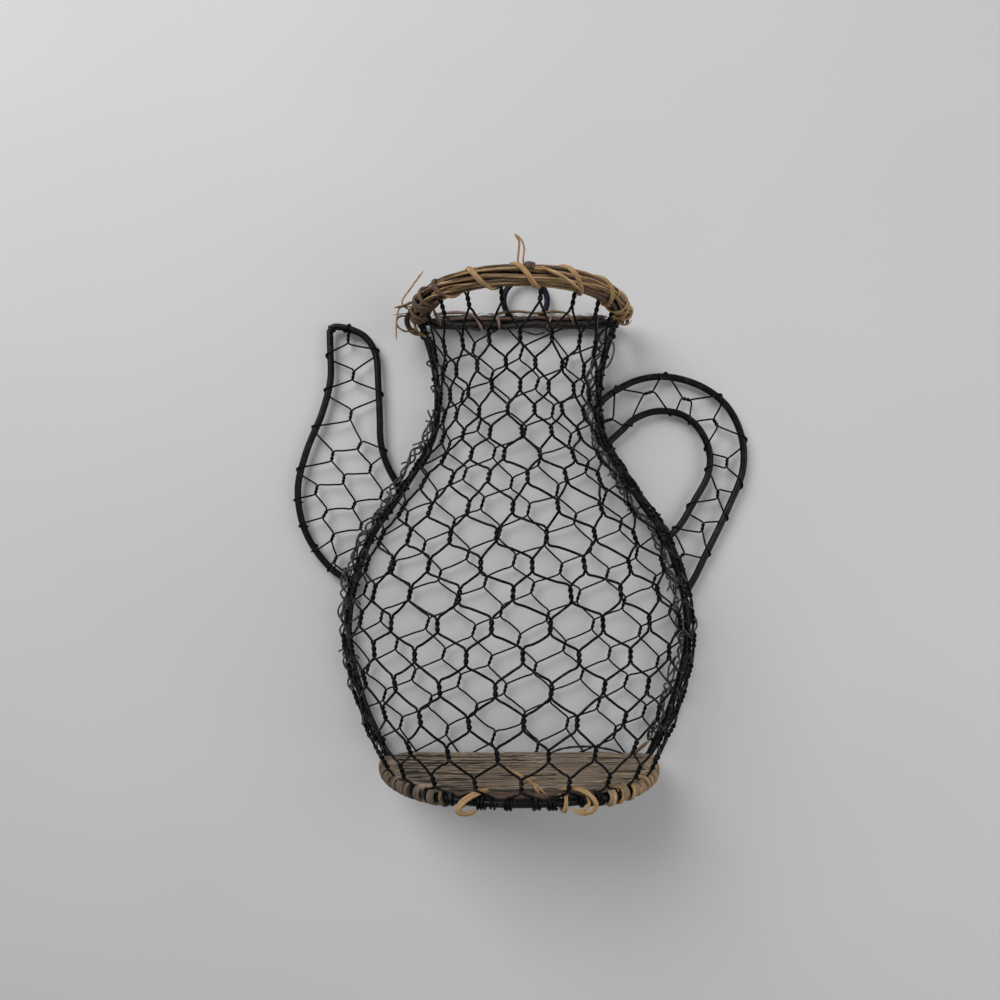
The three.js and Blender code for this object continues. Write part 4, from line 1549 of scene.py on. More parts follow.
@dataclass
class PlaneNet:
    """A small flat net whose twists and rod contacts are placed one by one, as x and height in mm.

    Attributes:
        shape: The basket's outline.
        piece: The piece's name.
        node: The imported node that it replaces.
        rods: The rods that its wires go round.
        twists: The top and the bottom of each twist.
        links: A twist's end, such as 3B for the bottom of twist 3, the end that its wire goes to or an
            empty string, and where it goes round a rod on its way: a place, or where it arrives and leaves.
        seed: Picks its irregularity.
    """

    shape: Shape
    piece: str
    node: str
    rods: list[Route]
    twists: dict[int, tuple[float, float, float, float]]
    links: list[tuple[str, str, tuple | None]]
    seed: int
    play: float = 0.15
    end_reach: float = 1.6
    end_turns: float = 1.1
    pass_reach: float = 3.2

    def build(self) -> None:
        """Builds the net as one piece."""
        net = Netting(seed=self.seed)
        for key, (x1, z1, x2, z2) in self.twists.items():
            net.add(key, vec(x2, 0, z2), vec(x1, 0, z1), FRONT, self.play)
        for first, second, contact in self.links:
            start, end = self.end(first), self.end(second)
            if contact is None:
                net.link(start, end)
            else:
                net.link(start, end, self.round_rod(net, start, end, contact))
        make_piece(self.piece, net.strands(), FINISH.wire, (self.node,))

    @staticmethod
    def end(label: str) -> End | None:
        """The twist's end that a label names."""
        return (int(label[:-1]), 1 if label[-1] == "T" else 0) if label else None

    def round_rod(self, net: Netting, start: End, end: End | None, contact: tuple) -> list[Array]:
        """A wire's way round the rod nearest to its contact.

        Args:
            net: The net that the wire belongs to.
            start: The twist end that it leaves.
            end: The twist end that it goes on to, or None where it ends.
            contact: A place on the rod, or the places where it arrives and leaves.

        Returns:
            The wire's points.
        """
        arrive, leave = contact if isinstance(contact[0], tuple) else (contact, None)
        place = vec(arrive[0], 0, arrive[1])
        rod = min(self.rods, key=lambda route: route.nearest(place).apart)
        spot = rod.nearest(place)
        wrap = Wrap(self.shape.rod, net.wire)
        origin = net.end_point(start)
        if end is None:
            up = math.copysign(self.end_reach, float((spot.place - origin) @ spot.way))
            low, high = spot.along - up, spot.along + up
            return wrap.points(rod, low, high, origin - spot.place, FRONT, self.end_turns, loose=True)
        target = net.end_point(end)
        inward = (origin + target) / 2 - spot.place
        if leave:
            last = rod.nearest(vec(leave[0], 0, leave[1])).along
            return wrap.points(rod, spot.along, last, inward, FRONT)
        up = math.copysign(self.pass_reach, float((target - origin) @ spot.way))
        return wrap.points(rod, spot.along - up, spot.along + up, inward, FRONT)


def spout_net(shape: Shape) -> PlaneNet:
    """Places the spout's net, twist by twist.

    Args:
        shape: The basket's outline.

    Returns:
        The net.
    """
    outer, inner = shape.spout_rods()
    twists = {
        1: (-113, 284, -113, 275.6), 2: (-109, 258.4, -110.2, 251.3), 3: (-110.5, 232.3, -112, 224.6),
        4: (-103.7, 211.5, -107, 205.2), 5: (-122.7, 204.4, -124.1, 197.2), 6: (-97.7, 195.9, -98.9, 189.4),
        7: (-115.3, 189.2, -116.5, 182.3), 8: (-90, 178.9, -91.8, 172.2), 9: (-133.3, 181.9, -135.1, 175),
        10: (-107.8, 171.4, -110.5, 165.6), 11: (-126.5, 165.8, -130.1, 159.3),
        12: (-104, 157.6, -105, 151.8), 13: (-122.1, 150, -124.4, 143.9), 14: (-120, 135.5, -122.7, 129.6),
    }
    links = [
        ("1T", "", (-114.2, 286)), ("1T", "", (-111.8, 286)), ("1B", "2T", (-126.8, 267.8)),
        ("1B", "2T", (-93.6, 270.5)), ("2B", "3T", (-128.6, 243.9)), ("2B", "3T", (-89.8, 242.4)),
        ("3B", "5T", (-136, 220.4)), ("3B", "4T", None), ("4T", "6T", (-88, 204.8)), ("4B", "5T", None),
        ("4B", "6T", None), ("5B", "9T", (-146, 191.9)), ("5B", "7T", None), ("6B", "7T", None),
        ("6B", "8T", None), ("7B", "9T", None), ("7B", "10T", None), ("8T", "", (-80.5, 181.3)),
        ("8B", "10T", None), ("8B", "12T", (-87.3, 165)), ("9B", "", (-147, 170.6)), ("9B", "11T", None),
        ("10B", "11T", None), ("10B", "12T", None), ("11B", "", (-144.6, 154.2)), ("11B", "13T", None),
        ("12B", "13T", None), ("12B", "14T", (-98.3, 145)), ("13B", "", (-136.5, 137.9)),
        ("13B", "14T", None), ("14B", "", (-125, 126)), ("14B", "", (-112, 121.5)),
    ]
    rods = [outer, inner, shape.side_rod(LEFT)]
    return PlaneNet(shape, "net_spout", "spout_net", rods, twists, links, 5)


def handle_net(shape: Shape) -> PlaneNet:
    """Places the handle's net, whose twists follow one another down the handle.

    Args:
        shape: The basket's outline.

    Returns:
        The net.
    """
    outer, inner = shape.handle_rods()
    twists = {
        1: (57, 224.2, 63.6, 226), 2: (83, 242, 90.5, 244.3), 3: (108.6, 239.7, 115.4, 238),
        4: (129.6, 226, 133, 220), 5: (139.2, 200, 138.5, 193.2), 6: (132.9, 179, 132.4, 172.6),
        7: (123.4, 157, 121.8, 150.4), 8: (111.1, 136.6, 105.8, 132.3),
    }
    outer_contacts = [
        ((65, 240.5), (69.6, 249.1)), ((93.6, 250.8), (102.7, 250.8)), ((129, 241.1), (136.4, 235.9)),
        ((149.6, 215.9), (149, 205.6)), ((145.6, 186.2), (142.7, 177.1)), ((139.3, 163.4), (133, 158.2)),
        ((125.6, 140.5), (122.7, 132.5))]
    inner_contacts = [
        ((68.4, 221.1), (78.1, 225.1)), ((97.6, 231.9), (106.1, 231.4)), ((113.6, 228.5), (118.7, 224.5)),
        ((125.6, 211.4), (130.7, 202.2)), ((130.1, 194.2), (126.7, 188.5)), ((119.8, 170.8), (115.3, 162.8)),
        ((109.5, 151.9), (104.9, 148.5))]
    links: list = [("1T", "", (52, 229)), ("1T", "", (53, 219))]
    links += [("8B", "", (104, 127)), ("8B", "", (107, 121))]
    for i, (out, into) in enumerate(zip(outer_contacts, inner_contacts), start=1):
        links += [(f"{i}B", f"{i + 1}T", out), (f"{i}B", f"{i + 1}T", into)]
    rods = [outer, inner, shape.side_rod(RIGHT)]
    return PlaneNet(shape, "net_handle", "handle_net", rods, twists, links, 9)


@dataclass
class Floor:
    """One flattened plant cord, wound from side to side round the base hoop, and the strands on the hoop."""

    shape: Shape
    width: float = 5.2
    thickness: float = 2.7
    pitch: float = 6.1
    first: float = 7.2
    front_gap: float = 13.0
    shift: float = 48.0
    sag: float = 6.42
    sagging: Pair = (60.0, 74.0)
    passing: tuple[float, ...] = (0.04, 0.2, 0.4, 0.6, 0.8, 0.96)
    passing_first: tuple[float, ...] = (0.04, 0.5)
    fibres: int = 90
    fibre_radius: Pair = (0.4, 0.7)
    fibre_length: Pair = (50, 130)
    fibre_sunk: float = 0.3
    gap_shade_radius: float = 0.62
    gap_shade_sunk: float = 0.5
    wrap_pitch: float = 5.8
    wrap_ends: Pair = (-38, 64)

    def hoop_at(self, distance: float) -> tuple[float, Array]:
        """Works out the hoop at a distance from the back bar.

        Args:
            distance: The distance.

        Returns:
            The hoop's half-width there, and the outward direction at its right side.
        """
        half, depth = self.shape.size(0)
        power = self.shape.squareness
        x = half * (1 - (distance / depth) ** power) ** (1 / power)
        return x, unit(vec(x ** (power - 1) / half**power, -(distance ** (power - 1)) / depth**power, 0))

    def build(self) -> None:
        """Builds the winding, the strands on the hoop and the fibres on top."""
        offset = (self.shape.rod + self.thickness) / 2
        turns = int((self.shape.size(0)[1] - self.front_gap - self.first) // self.pitch) + 1
        marks: list[Array] = []

        def mark(point: Array, facing: Array) -> None:
            """Adds a point of the cord and the way that its flat side faces."""
            marks.append(np.concatenate([point, facing]))

        def round_hoop(side: int, distance: float, first: float) -> None:
            """Adds the cord's half turn round the hoop.

            Args:
                side: LEFT or RIGHT.
                distance: Distance from the back bar.
                first: Where it starts: 90 degrees is the hoop's top and -90 its underside.
            """
            x, out = self.hoop_at(distance)
            out = out * vec(side, 1, 1)
            for angle in np.radians(np.linspace(first, -first, 7)):
                facing = out * math.cos(angle) + UP * math.sin(angle)
                mark(vec(side * x, -distance, 0) + facing * offset, facing)

        for turn in range(turns):
            distance = self.first + self.pitch * turn
            x, _ = self.hoop_at(distance)
            for share in self.passing if turn else self.passing_first:
                lift = 0.5 * math.sin(turn * 2.4 + share * 9) - 0.3
                mark(vec(x * (2 * share - 1), -distance + self.waver(turn, share), offset + lift), UP)
            round_hoop(RIGHT, distance, 90)
            low, high = self.sagging
            under = float(np.interp(distance, [low, high], [self.sag, offset]))
            if turn == turns - 1:
                mark(vec(self.shift, -distance, -offset), -UP)
                mark(vec(0, -distance, -offset), -UP)
                break
            mark(vec(self.shift, -distance, -under), -UP)
            mark(vec(0, -distance - self.pitch / 2, -under), -UP)
            mark(vec(-self.shift, -distance - self.pitch, -under), -UP)
            round_hoop(LEFT, distance + self.pitch, -90)
        samples = smooth(marks, 2.0)
        route, facing = samples[:, :3], samples[:, 3:]
        reach = np.array([self.hoop_at(min(max(-y, 1.0), 92))[0] for y in route[:, 1]])
        wrapped = np.clip((np.abs(route[:, 0]) - reach + 2) / 6, 0, 1)
        # Where the cord wraps round the hoop, its tone is painted golden at the right as light and dark at
        # the left as painted shade. Elsewhere it wanders at random.
        tone = np.where(route[:, 0] > 0, 0.7, -0.95) * wrapped
        tone += (0.5 * wave(-route[:, 1], 23, 8) + 0.35 * wave(lengths(route), 90, 5)) * (1 - wrapped)
        cord = Strand(route, self.width / 2, 18, rough=0.09, flat=self.thickness / self.width, facing=facing,
                      lobes=2, phase=math.pi, groove=0.25 + 0.1 * wrapped, lay=1e6, tone=tone, seed=3)
        make_piece("floor_cord", [cord], FINISH.cord, ("floor_winding",), floor=True)
        self.build_wraps()
        self.build_front_strands()
        self.build_fibres(offset + self.thickness / 2, turns)

    def waver(self, turn: float, share: Array | float) -> Array | float:
        """How far a pass of the cord strays towards the back at a share of its width."""
        return 0.8 * np.sin(turn * 1.7 + share * 8)

    def build_fibres(self, level: float, turns: int) -> None:
        """Builds the fibres along the top of the floor, and the dark strands in the gaps between the passes,
        which are painted shade.

        Args:
            level: Height of the floor's top.
            turns: How many times the cord passes.
        """
        rng = random.Random(77)
        strands = []
        for i in range(self.fibres):
            distance = rng.uniform(4, 86)
            reach, _ = self.hoop_at(distance)
            first = rng.uniform(-0.97, 0.4) * reach
            x = np.arange(first, min(first + rng.uniform(*self.fibre_length), 0.97 * reach), 4.0)
            y = -distance + 1.3 * wave(x, 60, 300 + i)
            z = level - self.fibre_sunk + 0.35 * wave(x, 34, 400 + i)
            route = smooth(np.stack([x, y, z], axis=1), 3.0)
            tone = np.full(len(route), rng.uniform(-0.5, 0.7))
            radius = rng.uniform(*self.fibre_radius)
            strands.append(Strand(route, radius, 7, rough=0.15, taper=6, tone=tone, seed=i))
        make_piece("floor_fibres", strands, FINISH.cord)
        # Dark strands along the gaps between the passes: painted shade in the grooves there.
        strands = []
        for gap in range(turns):
            distance = self.first + self.pitch * (gap + 0.5)
            reach, _ = self.hoop_at(distance)
            share = np.linspace(0.03, 0.97, 30)
            x = reach * (2 * share - 1)
            y = -distance + self.waver(gap + 0.5, share) + 0.5 * wave(x, 38, 500 + gap)
            z = level - self.gap_shade_sunk + 0.25 * wave(x, 27, 600 + gap)
            route = smooth(np.stack([x, y, z], axis=1), 3.0)
            strands.append(Strand(route, self.gap_shade_radius, 8, rough=0.25, taper=6, seed=gap))
        make_piece("floor_gap_shade_strands", strands, FINISH.shadow)

    def build_wraps(self) -> None:
        """Builds strands wound round the hoop: dark and brown at the left as painted shade, brown and golden
        at the right as painted light.
        """
        hoop = self.shape.hoop(0, 3)
        left, right = (self.shape.share_at(hoop, x) for x in self.wrap_ends)
        # The same vine is painted dark at the left as shade and golden at the right as light.
        for name, ends, start, offset, radius, finish, seed in (
            ("floor_wrap_left_painted_shade", (left, 0.985), 0, 3.2, 1.3, FINISH.dark, 260),
            ("floor_wrap_left_pale", (left + 0.01, 0.98), 180, 3.6, 1.0, FINISH.brown, 261),
            ("floor_wrap_right_brown", (0.015, right), 0, 3.4, 1.3, FINISH.brown, 262),
            ("floor_wrap_right_painted_light", (0.02, right - 0.005), 180, 3.8, 1.15, FINISH.golden, 263),
        ):
            length = abs(ends[1] - ends[0]) * hoop.length
            turns = length / self.wrap_pitch
            along = np.linspace(0, length, round(turns * 14))
            degrees = start + along / self.wrap_pitch * 360 + 35 * wave(along, 26, seed)
            reach = offset + 0.25 * wave(along, 11, seed + 1)
            points = [around(hoop, ends[0] + a / hoop.length, r, d) for a, r, d in zip(along, reach, degrees)]
            strand = Strand(smooth(points, 1.3), radius, 10, rough=0.14, taper=6, seed=seed)
            make_piece(name, [strand], finish)

    def build_front_strands(self) -> None:
        """Builds the dark strands that lie along the inside of the hoop's front."""
        hoop = self.shape.hoop(0)
        for i, (radius, lift, inset, ends) in enumerate((
            (1.3, 2.3, -3.2, (0.3, 0.71)), (1.6, 0.3, -4.4, (0.3, 0.7)), (1.2, 3.2, -6.0, (0.28, 0.72)),
            (0.9, 3.6, -4.4, (0.33, 0.6)),
        )):
            points = []
            for share in np.linspace(*ends, 18):
                out = unit(np.cross(UP, hoop.way(share)))
                wobble = 0.5 * math.sin(share * 40 + i * 2)
                points.append(hoop.at(share) + out * (inset + wobble * 0.5) + vec(0, 0, lift + wobble * 0.7))
            strand = Strand(smooth(points, 1.5), radius, 10, rough=0.14, taper=4, seed=70 + i)
            make_piece(f"floor_front_strand_{i + 1}", [strand], FINISH.mauve)


@dataclass
class RimVines:
    """Vine laid along the rim hoop, bound with a flatter vine, with loose ends at the left."""

    shape: Shape
    strand: float = 2.4
    offset: float = 3.75
    count: int = 6
    drift: float = 140.0
    end_gap: float = 5.0
    binding_width: float = 3.2
    binding_flat: float = 0.75
    binding_offset: float = 6.0
    binding_turns: int = 8
    binding_middle: float = 26.0
    binding_change: float = 0.72
    right_shift: float = 4.0
    right_share: float = 0.1
    fine_count: int = 38
    fine_radius: Pair = (0.45, 0.85)
    fine_offset: float = 5.35
    knot_middle: float = 4.3
    knot_half: float = 2.6
    knot_offset: float = 5.9

    def build(self) -> None:
        """Builds the strands, the fine strands between them, the binding, the knot and the loose ends."""
        hoop = self.shape.hoop(self.shape.rim, self.end_gap)
        # The thick strands under the fine ones are mostly mauve and brown, darker than the fine strands, so
        # the gaps between those show painted shade.
        finishes = (FINISH.brown, FINISH.mauve, FINISH.golden, FINISH.mauve, FINISH.brown, FINISH.mauve)
        for i in range(self.count):
            start = 30 + 360 / self.count * i
            strand = self.laid(hoop, start, self.drift, self.offset, self.strand / 2, (0, 1), 20 + i)
            make_piece(f"rim_strand_{i + 1}", [strand], finishes[i], (f"rim_vine_{i + 1}",))
        self.build_fine(hoop)
        self.build_binding()
        self.build_knot()
        self.build_loose_ends()

    def beside(self, hoop: Route, share: float, reach: float, degrees: float) -> Array:
        """A point round the hoop, shifted to the right near the hoop's right end."""
        shift = self.right_shift * math.exp(-((share / self.right_share) ** 2))
        return around(hoop, share, reach, degrees) + vec(shift, 0, 0)

    def front(self, places: list[Triple]) -> Array:
        """Places whose y is counted from the rim's front."""
        return np.array(places) + FRONT * self.shape.size(self.shape.rim)[1]

    def laid(
        self, hoop: Route, start: float, drift: float, offset: float, radius: float,
        ends: Pair, seed: int,
    ) -> Strand:
        """Shapes a strand laid along the hoop.

        Args:
            hoop: The hoop's middle.
            start: Degrees round the hoop at the middle of the front.
            drift: Degrees that it turns from end to end.
            offset: Distance from the hoop's middle.
            radius: The strand's radius.
            ends: The shares of the hoop where it starts and ends.
            seed: Picks its irregularity.

        Returns:
            The strand.
        """
        shares = np.linspace(*ends, 60)
        along = shares * hoop.length
        swing = wave(along, 90, seed) * 12
        lift = wave(along, 60, seed + 500) * 0.35
        route = smooth([
            self.beside(hoop, t, offset + lift[i], start + drift * (t - 0.5) + swing[i])
            for i, t in enumerate(shares)], 1.4)
        tone = 0.5 * wave(along, 70, seed + 900)
        tone = np.interp(np.linspace(0, 1, len(route)), np.linspace(0, 1, len(tone)), tone)
        return Strand(route, radius, 12, rough=0.1, taper=5, tone=tone, seed=seed)

    def build_fine(self, hoop: Route) -> None:
        """Builds the thin strands that fill the grooves and cross the thicker ones.

        Args:
            hoop: The hoop's middle.
        """
        rng = random.Random(31)
        finishes = (FINISH.golden, FINISH.brown, FINISH.golden, FINISH.brown, FINISH.golden, FINISH.mauve)
        for i in range(self.fine_count):
            first = rng.uniform(0, 0.5)
            last = min(1.0, first + rng.uniform(0.3, 0.65))
            radius = rng.uniform(*self.fine_radius)
            start = 360 * i / self.fine_count + rng.uniform(-9, 9)
            drift = rng.uniform(-60, 210)
            offset = self.fine_offset - radius * 0.3
            strand = self.laid(hoop, start, drift, offset, radius, (first, last), 60 + i)
            make_piece(f"rim_fine_strand_{i + 1}", [strand], finishes[i % len(finishes)])
        cross = self.front(
            [(9, -3, 294), (14.4, -5.6, 291), (22, -6.4, 287), (29.5, -4.5, 282.3), (33, -1, 280.5)])
        strand = Strand(smooth(cross, 1.2), 0.95, 10, rough=0.12, taper=4, seed=97)
        make_piece("rim_cross_strand", [strand], FINISH.golden)

    def build_binding(self) -> None:
        """Builds the vine wound round the bundle, golden and at the left mauve, and crossing strands."""
        hoop = self.shape.hoop(self.shape.rim, 10)
        change, half = self.binding_change, self.binding_width / 2
        even = (360 * self.binding_turns, 0.5, 1, self.binding_middle)
        for name, ends, (sweep, middle, pitch, start), radius, finish, nodes, seed in (
            ("rim_binding", (0.005, change), even, half, FINISH.golden, ("rim_binding_vine",), 44),
            ("rim_binding_left", (change - 0.01, 0.995), even, half, FINISH.mauve, (), 48),
            ("rim_dark_binding", (0.8, 0.95), (360, 0.8, 0.06, 250), 1.5, FINISH.mauve, (), 45),
            ("rim_right_binding", (0.0, 0.17), (-360, 0.04, 0.07, 40), 0.95, FINISH.golden, (), 46),
            ("rim_right_crossing", (0.0, 0.2), (-360, 0.04, 0.1, 190), 0.8, FINISH.golden, (), 47),
        ):
            shares = np.linspace(*ends, round(abs(ends[1] - ends[0]) * 190))
            degrees = sweep * (shares - middle) / pitch + start
            make_piece(name, [self.wound(hoop, shares, degrees, radius, seed)], finish, nodes)

    def wound(self, hoop: Route, shares: Array, degrees: Array, radius: float, seed: int) -> Strand:
        """Shapes a flat vine wound round the bundle.

        Args:
            hoop: The hoop's middle.
            shares: Shares of the hoop that it is wound past.
            degrees: Degrees round the hoop at each of them.
            radius: Half its width.
            seed: Picks its irregularity.

        Returns:
            The strand.
        """
        along = shares * hoop.length
        swing = wave(along, 45, seed) * 10
        lift = wave(along, 17, seed + 1) * 0.3
        route = smooth([
            self.beside(hoop, t, self.binding_offset + lift[i], degrees[i] + swing[i])
            for i, t in enumerate(shares)], 1.1)
        middles = np.array([hoop.nearest(point).place for point in route])
        tone = 0.3 + 0.4 * wave(lengths(route), 50, seed)
        return Strand(route, radius, 12, rough=0.1, flat=self.binding_flat, facing=route - middles, taper=6,
                      tone=tone, seed=seed)

    def build_knot(self) -> None:
        """Builds the two twigs that meet at a tip above the middle of the rim, and the knot beside them."""
        left = self.front(
            [(0.4, -1, 293.5), (-1.9, 0, 297.4), (-1.5, 0, 304.9), (-1.4, 0.4, 309), (-4.0, 0.8, 313.6)])
        right = self.front(
            [(2.6, -1, 293), (0.9, -0.6, 297.2), (1.4, -0.6, 304.6), (0.2, -0.2, 309), (-3.1, 0.3, 313)])
        strands = [
            Strand(smooth(left, 1.0), 0.62, 8, rough=0.1, taper=2, seed=91),
            Strand(smooth(right, 1.0), 0.52, 8, rough=0.1, taper=2, seed=92),
        ]
        make_piece("rim_twig", strands, FINISH.golden, ("rim_top_twig",))
        hoop = self.shape.hoop(self.shape.rim)
        centre = self.shape.share_at(hoop, self.knot_middle) * hoop.length
        shares = np.linspace(centre - self.knot_half, centre + self.knot_half, 26) / hoop.length
        points = [
            around(hoop, t, self.knot_offset + 0.7 * math.sin(i), 60 + 38 * math.sin(i * 0.9))
            for i, t in enumerate(shares)]
        knot = Strand(smooth(points, 0.9), 0.95, 8, rough=0.2, taper=3, seed=93)
        make_piece("rim_knot", [knot], FINISH.mauve)

    def build_loose_ends(self) -> None:
        """Builds the tendrils and curls at the left end of the rim, which start in the bundle."""
        ends = [
            (0.55, FINISH.golden, ("rim_left_tendril_1",),
             [(-61, -14, 291), (-68, -17, 291.5), (-74.5, -20, 295.9), (-68.2, -22, 305.5),
              (-60.7, -22, 315.7)]),
            (0.5, FINISH.golden, ("rim_left_tendril_2",),
             [(-62, -12, 296), (-70.1, -16, 295), (-75.8, -20, 293), (-77.9, -20, 286), (-78.4, -19, 272.3)]),
            (0.85, FINISH.brown, (),
             [(-62, -18, 297), (-68, -20, 296.4), (-74, -21, 293.6), (-79.6, -20, 293)]),
            (0.3, FINISH.dark, (), [(-62, -16, 289.5), (-71, -18, 289.9), (-80.9, -18, 288.9)]),
            (0.6, FINISH.brown, (),
             [(-64, -12, 290), (-77.1, -16, 288.3), (-78.4, -17, 283.2), (-73.9, -16, 279.4),
              (-66, -12, 281)]),
            (1.1, FINISH.mauve, (),
             [(-58, -14, 299), (-66, -14, 297), (-71.2, -12, 291.5), (-71, -8, 284.5), (-64, -4, 281.2),
              (-57, -1, 283)]),
            (0.95, FINISH.brown, (),
             [(-60, -18, 296), (-69, -16, 293), (-73.4, -12, 287), (-70, -7, 281.4), (-62, -4, 279.6)]),
            (0.8, FINISH.golden, (),
             [(-60, -8, 297), (-66, -9, 294), (-68, -8, 287), (-65, -5, 281), (-59, -2, 279)]),
            (0.9, FINISH.mauve, (), [(-58, -5, 298.5), (-56, -8, 297), (-54, -7, 291.5), (-52.1, -6, 285.9)]),
        ]
        for i, (radius, finish, nodes, places) in enumerate(ends):
            strand = Strand(smooth(places, 1.0), radius, 8, rough=0.16, taper=4, seed=110 + i)
            make_piece(f"rim_tendril_{i + 1}", [strand], finish, nodes)


@dataclass
class BackBarVines:
    """Dark fibrous vine along the rim's back bar, with a light strand on top and drooping ends."""

    shape: Shape
    end_gap: float = 6.0
    hairs: int = 300
    hair_foot: float = 3.6
    hair_length: Pair = (1.2, 3.6)
    hair_radius: Pair = (0.1, 0.17)

    def along_bar(
        self, degrees: float, radius: float, ends: Pair, turn: float, seed: int, offset: float = 3.4
    ) -> Strand:
        """Shapes a strand along the bar that turns slowly round it.

        Args:
            degrees: Where it starts: 0 is behind the bar and 90 on top.
            radius: Its radius.
            ends: Where along the bar it starts and ends.
            turn: Degrees that it turns on the way.
            seed: Picks its irregularity.
            offset: Distance from the bar's middle.

        Returns:
            The strand.
        """
        x = np.linspace(*ends, 40)
        angle = np.radians(degrees + turn * (x - ends[0]) / (ends[1] - ends[0]) + wave(x, 40, seed) * 15)
        reach = offset + wave(x, 26, seed + 3) * 0.35
        points = np.stack([x, reach * np.cos(angle), self.shape.rim + reach * np.sin(angle)], axis=1)
        return Strand(smooth(points, 1.3), radius, 12, rough=0.2, taper=5, seed=seed)

    def build(self) -> None:
        """Builds the strands, the drooping ends and the hairs."""
        reach = self.shape.size(self.shape.rim)[0] - self.end_gap
        for i, (degrees, radius, turn, finish) in enumerate((
            (160, 1.15, -20, FINISH.mauve), (205, 1.3, 60, FINISH.dark), (250, 1.3, -50, FINISH.dark),
            (20, 1.3, 40, FINISH.dark),
        )):
            strand = self.along_bar(degrees, radius, (-reach, reach), turn, 130 + i)
            make_piece(f"rim_bar_strand_{i + 1}", [strand], finish, (f"rim_back_vine_{i + 1}",))
        filling = [
            self.along_bar(290, 1.2, (-reach, reach * 0.9), 90, 140),
            self.along_bar(110, 1.1, (-reach * 0.9, reach), -70, 141),
            self.along_bar(180, 0.8, (-reach, reach), 300, 142, 4.0),
        ]
        make_piece("rim_bar_filling", filling, FINISH.dark)
        self.build_loose_ends()
        self.build_hairs(reach)

    def build_loose_ends(self) -> None:
        """Builds the light vine on top, the ends that droop from the bar and two scraps below it."""
        light = [(-17, -3, 293), (-12, -3.6, 294.9), (-0.1, -3.6, 296), (11.7, -3.4, 295), (25, -3.4, 296),
                 (31, -4.4, 294.6), (35.5, -5, 290.3), (36.6, -4.4, 286.6)]
        strand = Strand(smooth(light, 1.1), 0.85, 10, rough=0.16, taper=4, seed=150)
        make_piece("rim_bar_light_vine", [strand], FINISH.brown)
        droops = (
            (1.05, [(-56, -1, 294.5), (-48.9, -2.5, 295.2), (-37, -3.2, 295.4), (-29.8, -4.8, 293),
                    (-25.9, -5.4, 288.3), (-23.2, -5, 281.7)]),
            (1.0, [(-20, -2, 295), (-16.6, -4, 294), (-13.3, -5.2, 290.3), (-12.2, -5, 283)]),
            (0.8, [(-56, 0, 295), (-53.6, -3.6, 294.6), (-52.2, -5, 291), (-50.9, -4.8, 286)]),
            (0.75, [(24, -1, 296), (22.3, -3.8, 295), (21.2, -5, 290.5), (18.6, -4.8, 285)]),
            (0.9, [(50, -1, 296), (50.9, -3.8, 295), (51.4, -5, 291), (52.2, -4.8, 284.5)]),
        )
        strands = [Strand(smooth(places, 1.0), radius, 10, rough=0.15, taper=5, seed=160 + i)
                   for i, (radius, places) in enumerate(droops)]
        make_piece("rim_bar_drooping_ends", strands, FINISH.pale)
        scraps = ([(0, -3, 285), (6, -4.4, 282), (12, -4.4, 280.6), (19.5, -3, 283.5)],
                  [(-34, -3.4, 286), (-27, -4.4, 283.4), (-22, -4, 284.6)])
        strands = [Strand(smooth(places, 1.0), 0.6, 8, rough=0.2, taper=4, seed=170 + i)
                   for i, places in enumerate(scraps)]
        make_piece("rim_bar_scraps", strands, FINISH.dark)

    def build_hairs(self, reach: float) -> None:
        """Builds the fine hairs that stand off the bar's wrapping.

        Args:
            reach: Half the length of bar that they grow on.
        """
        rng = random.Random(17)
        hairs = []
        for i in range(self.hairs):
            x = rng.uniform(-reach, reach)
            angle = rng.uniform(0, 2 * math.pi)
            out = vec(0, math.cos(angle), math.sin(angle))
            base = vec(x, 0, self.shape.rim) + out * self.hair_foot
            lean = vec(rng.uniform(-5, 5), 0, 0)
            length = rng.uniform(*self.hair_length)
            points = [base, base + out * length * 0.5 + lean * 0.5, base + out * length * 0.75 + lean * 1.2]
            hairs.append(Strand(smooth(points, 1.5), rng.uniform(*self.hair_radius), 4, taper=2, seed=i))
        make_piece("rim_bar_hairs", hairs, FINISH.dark)


